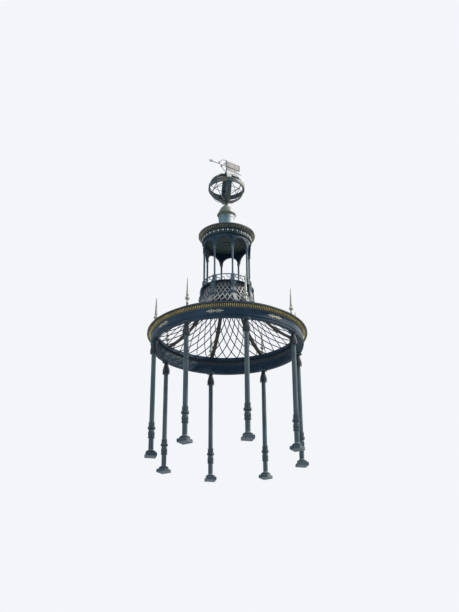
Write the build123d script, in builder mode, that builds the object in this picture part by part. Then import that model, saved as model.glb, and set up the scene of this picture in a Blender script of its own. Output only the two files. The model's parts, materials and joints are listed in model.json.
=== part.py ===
"""Open iron garden kiosk: eight columns, a ring beam, a lattice roof, a lantern and a wind vane.

The origin is the centre of the column circle at ground level, +Z points up, and an open bay
faces -Y. Every length is in millimetres and every angle in degrees.
"""

import os
from math import cos, hypot, radians, sin

from build123d import *

os.makedirs("parts", exist_ok=True)

# Plan
side_count = 8
column_circle_radius = 2000

# Columns, upwards from the ground
plinth_side = 280
plinth_height = 90
torus_radius = 128
torus_height = 60
cavetto_height = 60
lower_shaft_radius = 65
lower_collar_height = 485
lower_collar_radius = 83
lower_collar_thickness = 50
die_foot_radius = 68
die_radius = 77
upper_collar_height = 717
upper_collar_radius = 96
upper_collar_thickness = 66
shaft_foot_radius = 64
shaft_head_radius = 60
capital_height = 290
capital_foot_radius = 76
capital_belly_radius = 88
capital_belly_rise = 70
capital_neck_radius = 42
abacus_height = 40
abacus_radius = 115

# Ring beam
beam_bottom = 3150
beam_inner_offset = 50
beam_width = 110
beam_band_height = 60
beam_fillet_height = 28
beam_fillet_projection = 14
beam_height = 244

# Cornice on the ring beam
cornice_band_height = 100
cornice_band_projection = 54
cornice_step = 8
corona_height = 28
corona_projection = 116
inner_bead_radius = 9
inner_bead_rise = 66

# Roof curb, roof line and its ironwork
curb_setback = 44
curb_width = 111
curb_height = 98
eave_drop = 22
roof_rise = 832
roof_sagitta = 124
rib_width = 104
rib_drop = 20
rib_stand = 20
lattice_thickness = 16
roof_bar_width = 20
roof_cells_per_bay = 5
roof_cell_rows = 3

# Lance finials over the columns
finial_setback = 41
finial_base_radius = 40
finial_base_height = 24
finial_bulb_radius = 33
finial_bulb_rise = 88
finial_neck_radius = 17
finial_neck_rise = 160
finial_bead_radius = 54
finial_bead_rise = 218
finial_blade_radius = 36
finial_blade_rise = 312
finial_tip_radius = 10
finial_height = 800

# Drum under the lantern
sill_inner_radius = 725
sill_width = 45
sill_height = 44
sill_cover = 22
drum_foot_setback = 18
drum_lean = 108
drum_height = 382
drum_lattice_thickness = 12
drum_bar_width = 20
drum_cells_per_bay = 5
drum_cell_rows = 2
console_width = 150
console_back_depth = 26
console_foot_projection = 66
console_waist_projection = 62
console_bulge_projection = 98
console_head_projection = 90

# Gallery round the foot of the lantern
floor_overhang = 100
floor_thickness = 30
rail_setback = 66
rail_depth = 22
rail_height = 206
rail_bar_height = 18
scroll_bar_width = 13
scrolls_per_bay = 3

# Lantern
lantern_rail_offset = 26
lantern_pedestal_side = 96
lantern_pedestal_height = 214
lantern_shaft_radius = 27
lantern_capital_radius = 41
lantern_capital_height = 60
lantern_column_height = 1144
arcade_thickness = 44
arcade_height = 340
arch_rise = 236
spandrel_foot_width = 64
ceiling_overhang = 56
ceiling_thickness = 14
lantern_frieze_setback = 8
lantern_frieze_thickness = 26
lantern_frieze_height = 146
lantern_cornice_height = 92
lantern_cornice_projection = 106
lantern_cornice_edge = 34
lantern_roof_rise = 130
lantern_roof_thickness = 14
lantern_roof_setback = 18

# Pedestal and cap over the lantern
pedestal_radius = 230
pedestal_foot_projection = 32
pedestal_foot_height = 46
pedestal_height = 584
pedestal_rim_projection = 40
pedestal_rim_height = 34
pedestal_wall = 12
cap_projection = 12
cap_height = 376
cap_head_radius = 34
cap_wall = 12

# Openwork sphere
sphere_radius = 528
sphere_half_height = 486
sphere_gap = 40
band_thickness = 14
level_band_height = 150
upright_band_width = 142
upright_band_turn = 18.4
hoop_thickness = 14
hoop_turn = 45
spindle_radius = 17
spindle_knob_radius = 46
spindle_knob_height = 34

# Wind vane
vane_pin_radius = 10
vane_running_clearance = 0.05
vane_collar_radius = 24
vane_collar_height = 76
vane_rest_gap = 0.3
vane_sleeve_radius = 17
vane_sleeve_height = 420
vane_bore_depth = 200
vane_rod_radius = 9
vane_rod_rise = 205
vane_pointer_length = 640
vane_heading = 224
pointer_ball_radius = 24
pointer_blade_radius = 46
pointer_blade_length = 130
bracket_bar = 13
upper_bracket_reach = 270
lower_bracket_reach = 190
flag_thickness = 6
flag_length = 490
flag_top_rise = 196
flag_foot_drop = 130
flag_tail_length = 560
flag_tail_drop = 96
flag_tail_width = 26

# Angles of the columns and of the bays between them
bay_angle = 360 / side_count
column_angles = [-90 + bay_angle * (index + 0.5) for index in range(side_count)]
bay_angles = [-90 + bay_angle * index for index in range(side_count)]

# Radii, each from the piece that it stands on or beside
beam_inner_radius = column_circle_radius - beam_inner_offset
beam_outer_radius = beam_inner_radius + beam_width
curb_outer_radius = beam_outer_radius - curb_setback
curb_inner_radius = curb_outer_radius - curb_width
rib_end_radius = (curb_inner_radius**2 - (rib_width / 2) ** 2) ** 0.5
finial_circle_radius = curb_outer_radius - finial_setback
sill_outer_radius = sill_inner_radius + sill_width
drum_foot_radius = sill_outer_radius - drum_foot_setback
drum_head_radius = drum_foot_radius - drum_lean
floor_radius = drum_head_radius + floor_overhang
rail_radius = floor_radius - rail_setback
lantern_circle_radius = rail_radius - lantern_rail_offset
ceiling_radius = lantern_circle_radius + ceiling_overhang
lantern_frieze_outer_radius = ceiling_radius - lantern_frieze_setback
pedestal_foot_radius = pedestal_radius + pedestal_foot_projection
pedestal_rim_radius = pedestal_radius + pedestal_rim_projection
cap_radius = pedestal_radius + cap_projection

# Heights above the ground, each from the piece below
shaft_foot = upper_collar_height + upper_collar_thickness
capital_top = beam_bottom - abacus_height
capital_foot = capital_top - capital_height
beam_top = beam_bottom + beam_height
corona_bottom = beam_top + cornice_band_height
cornice_top = corona_bottom + corona_height
curb_top = cornice_top + curb_height
eave_height = curb_top - eave_drop
roof_head_height = eave_height + roof_rise
sill_top = roof_head_height + sill_cover
sill_bottom = sill_top - sill_height
floor_bottom = sill_top + drum_height
floor_top = floor_bottom + floor_thickness
lantern_capital_top = floor_top + lantern_column_height
ceiling_bottom = lantern_capital_top + arcade_height
ceiling_top = ceiling_bottom + ceiling_thickness
lantern_frieze_top = ceiling_top + lantern_frieze_height
lantern_cornice_top = lantern_frieze_top + lantern_cornice_height
lantern_roof_top = lantern_cornice_top + lantern_roof_rise
pedestal_top = lantern_roof_top + pedestal_height
cap_top = pedestal_top + cap_height
sphere_centre = cap_top + sphere_gap + sphere_half_height
sphere_top = sphere_centre + sphere_half_height
vane_foot = sphere_top + vane_collar_height + vane_rest_gap
vane_rod_height = vane_foot + vane_rod_rise
vane_top = vane_foot + vane_sleeve_height


def upright_plane(angle=0):
    """Vertical plane through the kiosk's axis: x outwards at the angle, y up."""
    turn = radians(angle)
    return Plane(origin=(0, 0, 0), x_dir=(cos(turn), sin(turn), 0), z_dir=(sin(turn), -cos(turn), 0))


def facing_plane(angle=0):
    """Vertical plane through the kiosk's axis: x sideways, y up, normal outwards at the angle."""
    turn = radians(angle)
    return Plane(origin=(0, 0, 0), x_dir=(-sin(turn), cos(turn), 0), z_dir=(cos(turn), sin(turn), 0))


def write_piece(piece, name):
    """Label a finished piece and write its file."""
    piece.label = name
    export_step(piece, f"parts/{name}.step")


def bay_wedge(flank_gap, outer_radius):
    """Plan corners of one bay around the +X axis, a gap away from the planes of its two columns."""
    half_bay = radians(bay_angle / 2)
    apex = flank_gap / sin(half_bay)
    reach = 1.5 * outer_radius
    side_x = apex + reach * cos(half_bay)
    side_y = reach * sin(half_bay)
    return [(apex, 0), (side_x, -side_y), (side_x, side_y)]


def shrunk_cell(corners, bar_width):
    """Corners of the gap left in a diamond when half a bar runs along each of its sides."""
    centre_x = sum(x for x, y in corners) / len(corners)
    centre_y = sum(y for x, y in corners) / len(corners)
    half_length = hypot(corners[0][0] - corners[2][0], corners[0][1] - corners[2][1]) / 2
    half_width = hypot(corners[1][0] - corners[3][0], corners[1][1] - corners[3][1]) / 2
    inner_radius = half_length * half_width / hypot(half_length, half_width)
    share = max(1 - bar_width / 2 / inner_radius, 0.05)
    return [(centre_x + share * (x - centre_x), centre_y + share * (y - centre_y)) for x, y in corners]


# One column about its own axis, foot to abacus
with BuildPart() as column_form:
    with BuildSketch():
        Rectangle(plinth_side, plinth_side)
    extrude(amount=plinth_height)
    chamfer(column_form.faces().sort_by(Axis.Z)[-1].edges(), plinth_height / 8)
    with BuildSketch(Plane.XZ):
        with BuildLine():
            torus_top = plinth_height + torus_height
            cavetto_top = torus_top + cavetto_height
            torus_edge = torus_radius - torus_height / 2
            Polyline((0, plinth_height), (torus_edge, plinth_height))
            ThreePointArc(
                (torus_edge, plinth_height),
                (torus_radius, plinth_height + torus_height / 2),
                (torus_edge, torus_top),
            )
            ThreePointArc(
                (torus_edge, torus_top),
                (
                    lower_shaft_radius + (torus_edge - lower_shaft_radius) * 0.3,
                    torus_top + cavetto_height * 0.3,
                ),
                (lower_shaft_radius, cavetto_top),
            )
            lower_collar_top = lower_collar_height + lower_collar_thickness
            Line((lower_shaft_radius, cavetto_top), (lower_shaft_radius, lower_collar_height))
            Polyline(
                (lower_shaft_radius, lower_collar_height),
                (lower_collar_radius - lower_collar_thickness / 4, lower_collar_height),
            )
            ThreePointArc(
                (lower_collar_radius - lower_collar_thickness / 4, lower_collar_height),
                (lower_collar_radius, lower_collar_height + lower_collar_thickness / 2),
                (lower_collar_radius - lower_collar_thickness / 4, lower_collar_top),
            )
            Line(
                (lower_collar_radius - lower_collar_thickness / 4, lower_collar_top),
                (die_foot_radius, lower_collar_top),
            )
            ThreePointArc(
                (die_foot_radius, lower_collar_top),
                (die_radius, (lower_collar_top + upper_collar_height) / 2),
                (die_foot_radius, upper_collar_height),
            )
            collar_edge = upper_collar_radius - upper_collar_thickness / 4
            Line((die_foot_radius, upper_collar_height), (collar_edge, upper_collar_height))
            ThreePointArc(
                (collar_edge, upper_collar_height),
                (upper_collar_radius, upper_collar_height + upper_collar_thickness / 2),
                (collar_edge, shaft_foot),
            )
            Polyline(
                (collar_edge, shaft_foot),
                (shaft_foot_radius, shaft_foot),
                (shaft_head_radius, capital_foot),
                (capital_foot_radius, capital_foot),
            )
            Spline(
                (capital_foot_radius, capital_foot),
                (capital_belly_radius, capital_foot + capital_belly_rise),
                ((capital_belly_radius + capital_neck_radius) / 2, capital_foot + capital_height * 0.62),
                (capital_neck_radius, capital_top),
            )
            Polyline(
                (capital_neck_radius, capital_top),
                (abacus_radius, beam_bottom - abacus_height / 3),
                (abacus_radius, beam_bottom),
                (0, beam_bottom),
                (0, plinth_height),
            )
        make_face()
    revolve(axis=Axis.Z)

for number, angle in enumerate(column_angles, start=1):
    with BuildPart() as column:
        with PolarLocations(column_circle_radius, 1, start_angle=angle):
            add(column_form.part)
    write_piece(column.part, f"column_{number}")


# Ring beam: lower band, bright fillet, plain frieze
with BuildPart() as ring_beam:
    with BuildSketch(Plane.XZ):
        band_top = beam_bottom + beam_band_height
        fillet_top = band_top + beam_fillet_height
        fillet_radius = beam_outer_radius + beam_fillet_projection
        Polygon(
            (beam_inner_radius, beam_bottom),
            (beam_outer_radius, beam_bottom),
            (beam_outer_radius, band_top),
            (fillet_radius, band_top),
            (fillet_radius, fillet_top),
            (beam_outer_radius, fillet_top),
            (beam_outer_radius, beam_top),
            (beam_inner_radius, beam_top),
            align=None,
        )
    revolve(axis=Axis.Z)
write_piece(ring_beam.part, "ring_beam")


# Cornice: a cove that carries the gilt band, under a thin projecting slab
with BuildPart() as cornice:
    with BuildSketch(Plane.XZ):
        band_radius = beam_outer_radius + cornice_band_projection
        corona_radius = beam_outer_radius + corona_projection
        with BuildLine():
            Polyline(
                (beam_inner_radius, beam_top),
                (beam_outer_radius, beam_top),
                (beam_outer_radius + cornice_step, beam_top + cornice_step),
            )
            ThreePointArc(
                (beam_outer_radius + cornice_step, beam_top + cornice_step),
                (
                    beam_outer_radius + cornice_step + (cornice_band_projection - cornice_step) * 0.36,
                    beam_top + cornice_band_height * 0.6,
                ),
                (band_radius, corona_bottom),
            )
            Polyline(
                (band_radius, corona_bottom),
                (corona_radius, corona_bottom),
                (corona_radius, cornice_top),
                (beam_inner_radius, cornice_top),
                (beam_inner_radius, beam_top),
            )
        make_face()
        with Locations((beam_inner_radius, beam_top + inner_bead_rise)):
            Circle(inner_bead_radius)
    revolve(axis=Axis.Z)
write_piece(cornice.part, "cornice")


# Curb that the ribs and lattice bars end on
with BuildPart() as roof_curb:
    with BuildSketch(Plane.XZ):
        Polygon(
            (curb_inner_radius, cornice_top),
            (curb_inner_radius, curb_top),
            (curb_outer_radius, curb_top),
            (curb_outer_radius, cornice_top),
            align=None,
        )
    revolve(axis=Axis.Z)
write_piece(roof_curb.part, "roof_curb")


def roof_line(lift=0, end_radius=curb_inner_radius):
    """Hollow arc from the drum sill, where it is steep, down to the curb."""
    head = (sill_outer_radius, roof_head_height + lift)
    eave = (end_radius, eave_height + lift)
    SagittaArc(head, eave, -roof_sagitta)


def roof_strip(low_lift, high_lift, end_radius=curb_inner_radius):
    """Outline between two roof lines, closed upright at the sill and at the curb."""
    with BuildLine() as strip:
        roof_line(low_lift, end_radius)
        roof_line(high_lift, end_radius)
        Line(
            (sill_outer_radius, roof_head_height + low_lift),
            (sill_outer_radius, roof_head_height + high_lift),
        )
        Line((end_radius, eave_height + low_lift), (end_radius, eave_height + high_lift))
    make_face(strip.edges())


# Ribs from the sill to the curb, each with the corners of its flat end on the curb
for number, angle in enumerate(column_angles, start=1):
    with BuildPart() as roof_rib:
        with BuildSketch(upright_plane(angle)):
            roof_strip(-rib_drop, rib_stand, rib_end_radius)
        extrude(amount=rib_width / 2, both=True)
    write_piece(roof_rib.part, f"roof_rib_{number}")


# Rings of crossings down the roof, from the sill to the curb
roof_steps = 2 * roof_cell_rows


def crossing_radius(step):
    """Radius of a ring of crossings; each ring is wider by the same factor than the one above."""
    return sill_outer_radius * (curb_inner_radius / sill_outer_radius) ** (step / roof_steps)


def roof_cell(step, angle):
    """Plan corners of the diamond round one point of the roof, at an angle from mid-bay."""
    half_cell = bay_angle / roof_cells_per_bay / 2
    polar = [
        (crossing_radius(step - 1), angle),
        (crossing_radius(step), angle + half_cell),
        (crossing_radius(step + 1), angle),
        (crossing_radius(step), angle - half_cell),
    ]
    return [(radius * cos(radians(turn)), radius * sin(radians(turn))) for radius, turn in polar]


def cell_angles(step, cell_count):
    """Angles from mid-bay of the diamonds on one ring, each ring half a cell from the next."""
    cell_angle = bay_angle / cell_count
    shift = 0.5 * (step % 2)
    return [cell_angle * (index + shift - cell_count / 2) for index in range(cell_count + 1)]


# One bay of roof lattice about +X: a thin curved shell, pierced by diamonds
with BuildPart() as roof_lattice_form:
    with BuildSketch(upright_plane(-bay_angle / 2)):
        roof_strip(-lattice_thickness / 2, lattice_thickness / 2)
    revolve(axis=Axis.Z, revolution_arc=bay_angle)
    with BuildSketch(Plane.XY.offset(beam_bottom)):
        Polygon(*bay_wedge(rib_width / 2, curb_inner_radius), align=None)
        with BuildSketch(mode=Mode.PRIVATE) as roof_gaps:
            for step in range(roof_steps + 1):
                for angle in cell_angles(step, roof_cells_per_bay):
                    Polygon(*shrunk_cell(roof_cell(step, angle), roof_bar_width), align=None)
        add(roof_gaps.sketch, mode=Mode.SUBTRACT)
    extrude(amount=sill_top - beam_bottom, mode=Mode.INTERSECT)

for number, angle in enumerate(bay_angles, start=1):
    with BuildPart() as roof_lattice:
        with PolarLocations(0, 1, start_angle=angle):
            add(roof_lattice_form.part)
    write_piece(roof_lattice.part, f"roof_lattice_{number}")


# Lance finials on the curb, one over each column
with BuildPart() as finial_form:
    with BuildSketch(Plane.XZ):
        with BuildLine():
            Polyline(
                (0, 0),
                (finial_base_radius, 0),
                (finial_base_radius, finial_base_height / 2),
                (finial_neck_radius, finial_base_height),
            )
            Spline(
                (finial_neck_radius, finial_base_height),
                (finial_bulb_radius, finial_bulb_rise),
                (finial_neck_radius, finial_neck_rise),
            )
            Spline(
                (finial_neck_radius, finial_neck_rise),
                (finial_bead_radius, finial_bead_rise),
                (finial_neck_radius, 2 * finial_bead_rise - finial_neck_rise),
            )
            Polyline(
                (finial_neck_radius, 2 * finial_bead_rise - finial_neck_rise),
                (finial_blade_radius, finial_blade_rise),
                (finial_tip_radius, finial_height),
                (0, finial_height),
                (0, 0),
            )
        make_face()
    revolve(axis=Axis.Z)

with BuildPart() as lance_finials:
    with Locations((0, 0, curb_top)):
        with PolarLocations(finial_circle_radius, side_count, start_angle=column_angles[0]):
            add(finial_form.part)
write_piece(lance_finials.part, "lance_finials")


# Drum sill: the ring at the head of the roof
with BuildPart() as drum_sill:
    with BuildSketch(Plane.XZ):
        Polygon(
            (sill_inner_radius, sill_bottom),
            (sill_outer_radius, sill_bottom),
            (sill_outer_radius, sill_top),
            (sill_inner_radius, sill_top),
            align=None,
        )
    revolve(axis=Axis.Z)
write_piece(drum_sill.part, "drum_sill")


def drum_radius(height):
    """Outer radius of the drum's lattice at a height."""
    share = (height - sill_top) / drum_height
    return drum_foot_radius + share * (drum_head_radius - drum_foot_radius)


drum_steps = 2 * drum_cell_rows


def drum_cell(step, angle):
    """Corners of one diamond of the drum, seen square on from mid-bay."""
    half_cell = bay_angle / drum_cells_per_bay / 2
    step_height = drum_height / drum_steps
    height = sill_top + step * step_height
    corners = [
        (height - step_height, angle),
        (height, angle + half_cell),
        (height + step_height, angle),
        (height, angle - half_cell),
    ]
    return [(drum_radius(level) * sin(radians(turn)), level) for level, turn in corners]


# One bay of drum lattice about +X
with BuildPart() as drum_lattice_form:
    with BuildSketch(upright_plane(-bay_angle / 2)):
        Polygon(
            (drum_foot_radius - drum_lattice_thickness, sill_top),
            (drum_foot_radius, sill_top),
            (drum_head_radius, floor_bottom),
            (drum_head_radius - drum_lattice_thickness, floor_bottom),
            align=None,
        )
    revolve(axis=Axis.Z, revolution_arc=bay_angle)
    with BuildSketch(Plane.XY.offset(sill_top)):
        Polygon(*bay_wedge(console_width / 2, drum_foot_radius), align=None)
    extrude(amount=drum_height, mode=Mode.INTERSECT)
    with BuildSketch(facing_plane()):
        for step in range(drum_steps + 1):
            for angle in cell_angles(step, drum_cells_per_bay):
                Polygon(*shrunk_cell(drum_cell(step, angle), drum_bar_width), align=None)
    extrude(amount=2 * drum_foot_radius, mode=Mode.SUBTRACT)

for number, first_bay in enumerate((0, side_count // 2), start=1):
    with BuildPart() as drum_lattice:
        for angle in bay_angles[first_bay:first_bay + side_count // 2]:
            with PolarLocations(0, 1, start_angle=angle):
                add(drum_lattice_form.part)
    write_piece(drum_lattice.part, f"drum_lattice_{number}")


# Scroll consoles between the drum's lattice panels
with BuildPart() as console_form:
    with BuildSketch(Plane.XZ):
        with BuildLine():
            foot = (sill_outer_radius, sill_top)
            roll_level = sill_top + 0.2 * drum_height
            waist_level = sill_top + 0.5 * drum_height
            bulge_level = sill_top + 0.82 * drum_height
            head = (drum_head_radius + console_head_projection, floor_bottom)
            Spline(
                foot,
                (drum_radius(roll_level) + console_foot_projection, roll_level),
                (drum_radius(waist_level) + console_waist_projection, waist_level),
                (drum_radius(bulge_level) + console_bulge_projection, bulge_level),
                head,
            )
            Polyline(
                head,
                (drum_head_radius - console_back_depth, floor_bottom),
                (drum_foot_radius - console_back_depth, sill_top),
                foot,
            )
        make_face()
    extrude(amount=console_width / 2, both=True)

with BuildPart() as drum_consoles:
    with PolarLocations(0, side_count, start_angle=column_angles[0]):
        add(console_form.part)
write_piece(drum_consoles.part, "drum_consoles")


# Gallery floor, which closes the drum
with BuildPart() as gallery_floor:
    with BuildSketch(Plane.XY.offset(floor_bottom)):
        Circle(floor_radius)
    extrude(amount=floor_thickness)
    fillet(gallery_floor.edges().sort_by(Axis.Z)[-1], floor_thickness / 3)
write_piece(gallery_floor.part, "gallery_floor")


# One bay of gallery rail about +X: two bars and a row of S scrolls between them
with BuildPart() as rail_form:
    rail_bottom = floor_top
    scroll_room = rail_height - 2 * rail_bar_height
    scroll_radius = (scroll_room + scroll_bar_width) / 4
    scroll_middle = rail_bottom + rail_height / 2
    rail_span = 2 * rail_radius * sin(radians(bay_angle / 2))
    with BuildSketch(facing_plane()):
        with Locations(
            (0, rail_bottom + rail_bar_height / 2),
            (0, rail_bottom + rail_height - rail_bar_height / 2),
        ):
            Rectangle(1.2 * rail_span, rail_bar_height)
        for index in range(scrolls_per_bay):
            scroll_x = (index - (scrolls_per_bay - 1) / 2) * (rail_span - lantern_pedestal_side) / scrolls_per_bay
            with BuildLine():
                CenterArc((scroll_x, scroll_middle + scroll_radius), scroll_radius, -90, -230)
                CenterArc((scroll_x, scroll_middle - scroll_radius), scroll_radius, 90, -230)
            trace(line_width=scroll_bar_width)
    extrude(amount=2 * rail_radius)
    with BuildSketch(Plane.XY.offset(rail_bottom)):
        Polygon(*bay_wedge(lantern_pedestal_side / 2, rail_radius), align=None)
    extrude(amount=rail_height, mode=Mode.INTERSECT)
    with BuildSketch(Plane.XY.offset(rail_bottom)):
        Circle(rail_radius + rail_depth / 2)
        Circle(rail_radius - rail_depth / 2, mode=Mode.SUBTRACT)
    extrude(amount=rail_height, mode=Mode.INTERSECT)

with BuildPart() as gallery_rail:
    with PolarLocations(0, side_count, start_angle=bay_angles[0]):
        add(rail_form.part)
write_piece(gallery_rail.part, "gallery_rail")


# Lantern columns, each on its square pedestal
with BuildPart() as lantern_column_form:
    with BuildSketch():
        Rectangle(lantern_pedestal_side, lantern_pedestal_side)
    extrude(amount=lantern_pedestal_height)
    chamfer(lantern_column_form.faces().sort_by(Axis.Z)[-1].edges(), lantern_pedestal_side / 10)
    with BuildSketch(Plane.XZ):
        capital_foot_level = lantern_column_height - lantern_capital_height
        Polygon(
            (0, lantern_pedestal_height),
            (lantern_shaft_radius, lantern_pedestal_height),
            (lantern_shaft_radius, capital_foot_level),
            (lantern_capital_radius, capital_foot_level + lantern_capital_height / 4),
            (lantern_shaft_radius, capital_foot_level + lantern_capital_height / 2),
            (lantern_capital_radius, lantern_column_height - lantern_capital_height / 6),
            (lantern_capital_radius, lantern_column_height),
            (0, lantern_column_height),
            align=None,
        )
    revolve(axis=Axis.Z)

with BuildPart() as lantern_columns:
    with Locations((0, 0, floor_top)):
        with PolarLocations(lantern_circle_radius, side_count, start_angle=column_angles[0]):
            add(lantern_column_form.part)
write_piece(lantern_columns.part, "lantern_columns")


# Ring of flat arches from column to column
with BuildPart() as lantern_arcade:
    with BuildSketch(Plane.XY.offset(lantern_capital_top)):
        Circle(lantern_circle_radius + arcade_thickness / 2)
        Circle(lantern_circle_radius - arcade_thickness / 2, mode=Mode.SUBTRACT)
    extrude(amount=arcade_height)
    arch_half_width = lantern_circle_radius * sin(radians(bay_angle / 2)) - spandrel_foot_width / 2
    for angle in bay_angles:
        with BuildSketch(facing_plane(angle)):
            with Locations((0, lantern_capital_top)):
                Ellipse(arch_half_width, arch_rise)
        extrude(amount=2 * lantern_circle_radius, mode=Mode.SUBTRACT)
write_piece(lantern_arcade.part, "lantern_arcade")


with BuildPart() as lantern_ceiling:
    with BuildSketch(Plane.XY.offset(ceiling_bottom)):
        Circle(ceiling_radius)
    extrude(amount=ceiling_thickness)
write_piece(lantern_ceiling.part, "lantern_ceiling")


with BuildPart() as lantern_frieze:
    with BuildSketch(Plane.XY.offset(ceiling_top)):
        Circle(lantern_frieze_outer_radius)
        Circle(lantern_frieze_outer_radius - lantern_frieze_thickness, mode=Mode.SUBTRACT)
    extrude(amount=lantern_frieze_height)
write_piece(lantern_frieze.part, "lantern_frieze")


# Flared cornice of the lantern
with BuildPart() as lantern_cornice:
    with BuildSketch(Plane.XZ):
        cornice_foot_radius = lantern_frieze_outer_radius
        cornice_edge_radius = lantern_frieze_outer_radius + lantern_cornice_projection
        cornice_back_radius = lantern_frieze_outer_radius - lantern_frieze_thickness
        edge_bottom = lantern_cornice_top - lantern_cornice_edge
        with BuildLine():
            Line((cornice_back_radius, lantern_frieze_top), (cornice_foot_radius, lantern_frieze_top))
            ThreePointArc(
                (cornice_foot_radius, lantern_frieze_top),
                (
                    cornice_foot_radius + lantern_cornice_projection * 0.42,
                    lantern_frieze_top + (lantern_cornice_height - lantern_cornice_edge) * 0.58,
                ),
                (cornice_edge_radius, edge_bottom),
            )
            Polyline(
                (cornice_edge_radius, edge_bottom),
                (cornice_edge_radius, lantern_cornice_top),
                (cornice_back_radius, lantern_cornice_top),
                (cornice_back_radius, lantern_frieze_top),
            )
        make_face()
    revolve(axis=Axis.Z)
write_piece(lantern_cornice.part, "lantern_cornice")


# Low sheet roof from the lantern's cornice up to the pedestal
with BuildPart() as lantern_roof:
    with BuildSketch(Plane.XZ):
        roof_edge_radius = cornice_edge_radius - lantern_roof_setback
        roof_seat_radius = pedestal_foot_radius + lantern_roof_setback
        Polygon(
            (cornice_back_radius, lantern_cornice_top),
            (roof_edge_radius, lantern_cornice_top),
            (roof_edge_radius, lantern_cornice_top + lantern_roof_thickness),
            (roof_seat_radius, lantern_roof_top),
            (pedestal_radius, lantern_roof_top),
            (pedestal_radius, lantern_roof_top - lantern_roof_thickness),
            align=None,
        )
    revolve(axis=Axis.Z)
write_piece(lantern_roof.part, "lantern_roof")


# Round pedestal with a foot moulding and a rim
with BuildPart() as sphere_pedestal:
    with BuildSketch(Plane.XZ):
        rim_bottom = pedestal_top - pedestal_rim_height
        Polygon(
            (pedestal_radius - pedestal_wall, lantern_roof_top),
            (pedestal_foot_radius, lantern_roof_top),
            (pedestal_foot_radius, lantern_roof_top + pedestal_foot_height / 2),
            (pedestal_radius, lantern_roof_top + pedestal_foot_height),
            (pedestal_radius, rim_bottom - pedestal_rim_height),
            (pedestal_rim_radius, rim_bottom),
            (pedestal_rim_radius, pedestal_top),
            (pedestal_radius - pedestal_wall, pedestal_top),
            align=None,
        )
    revolve(axis=Axis.Z)
write_piece(sphere_pedestal.part, "sphere_pedestal")


# Cap: full at its foot, drawn in to a narrow head, hollow inside
with BuildPart() as pedestal_cap:
    with BuildSketch(Plane.XZ):
        with BuildLine():
            shoulder = (cap_radius * 0.84, pedestal_top + cap_height * 0.38)
            waist = (cap_radius * 0.46, pedestal_top + cap_height * 0.72)
            Spline(
                (cap_radius, pedestal_top),
                shoulder,
                waist,
                (cap_head_radius, cap_top),
                tangents=((0, 1), (-0.15, 1)),
            )
            Polyline(
                (cap_head_radius, cap_top),
                (0, cap_top),
                (0, cap_top - cap_wall),
                (waist[0] - cap_wall - cap_radius * 0.12, waist[1] - cap_wall),
                (shoulder[0] - cap_wall, shoulder[1] - cap_wall),
                (cap_radius - cap_wall, pedestal_top),
                (cap_radius, pedestal_top),
            )
        make_face()
    revolve(axis=Axis.Z)
write_piece(pedestal_cap.part, "pedestal_cap")


def hollow_ball(outer_radius, wall):
    """Thin, slightly flattened ball at the sphere's centre, for a band to be cut from."""
    flatness = sphere_half_height / sphere_radius
    inner_radius = outer_radius - wall
    with BuildSketch(Plane.XZ) as ball_profile:
        with Locations((0, sphere_centre)):
            Ellipse(outer_radius, outer_radius * flatness)
            Ellipse(inner_radius, inner_radius * flatness, mode=Mode.SUBTRACT)
        with Locations((-outer_radius, sphere_centre)):
            Rectangle(2 * outer_radius, 3 * outer_radius, mode=Mode.SUBTRACT)
    revolve(ball_profile.sketch, axis=Axis.Z)


upright_outer_radius = sphere_radius - band_thickness
upright_top = sphere_centre + upright_outer_radius * sphere_half_height / sphere_radius
hoop_outer_radius = upright_outer_radius - band_thickness

# Level band of the sphere
with BuildPart() as level_band:
    hollow_ball(sphere_radius, band_thickness)
    with Locations((0, 0, sphere_centre)):
        Box(3 * sphere_radius, 3 * sphere_radius, level_band_height, mode=Mode.INTERSECT)
write_piece(level_band.part, "level_band")


# Two upright bands that cross at the poles, just inside the level band
with BuildPart() as upright_bands:
    hollow_ball(upright_outer_radius, band_thickness)
    with BuildSketch(Plane.XY.offset(sphere_centre - sphere_radius)):
        with Locations(Location((0, 0, 0), upright_band_turn)):
            Rectangle(3 * sphere_radius, upright_band_width)
            Rectangle(upright_band_width, 3 * sphere_radius)
    extrude(amount=2 * sphere_radius, mode=Mode.INTERSECT)
    with BuildSketch(Plane.XY.offset(sphere_centre - sphere_radius)):
        Circle(spindle_radius)
    extrude(amount=2 * sphere_radius, mode=Mode.SUBTRACT)
write_piece(upright_bands.part, "upright_bands")


# Two thin hoops inside the bands, between the upright bands in plan
with BuildPart() as inner_hoops:
    hollow_ball(hoop_outer_radius, hoop_thickness)
    with BuildSketch(Plane.XY.offset(sphere_centre - sphere_radius)):
        with Locations(Location((0, 0, 0), upright_band_turn + hoop_turn)):
            Rectangle(3 * sphere_radius, hoop_thickness)
            Rectangle(hoop_thickness, 3 * sphere_radius)
        Circle(2 * spindle_radius)
    extrude(amount=2 * sphere_radius, mode=Mode.INTERSECT)
    with BuildSketch(Plane.XY.offset(sphere_centre - sphere_radius)):
        Circle(spindle_radius)
    extrude(amount=2 * sphere_radius, mode=Mode.SUBTRACT)
write_piece(inner_hoops.part, "inner_hoops")


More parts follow.
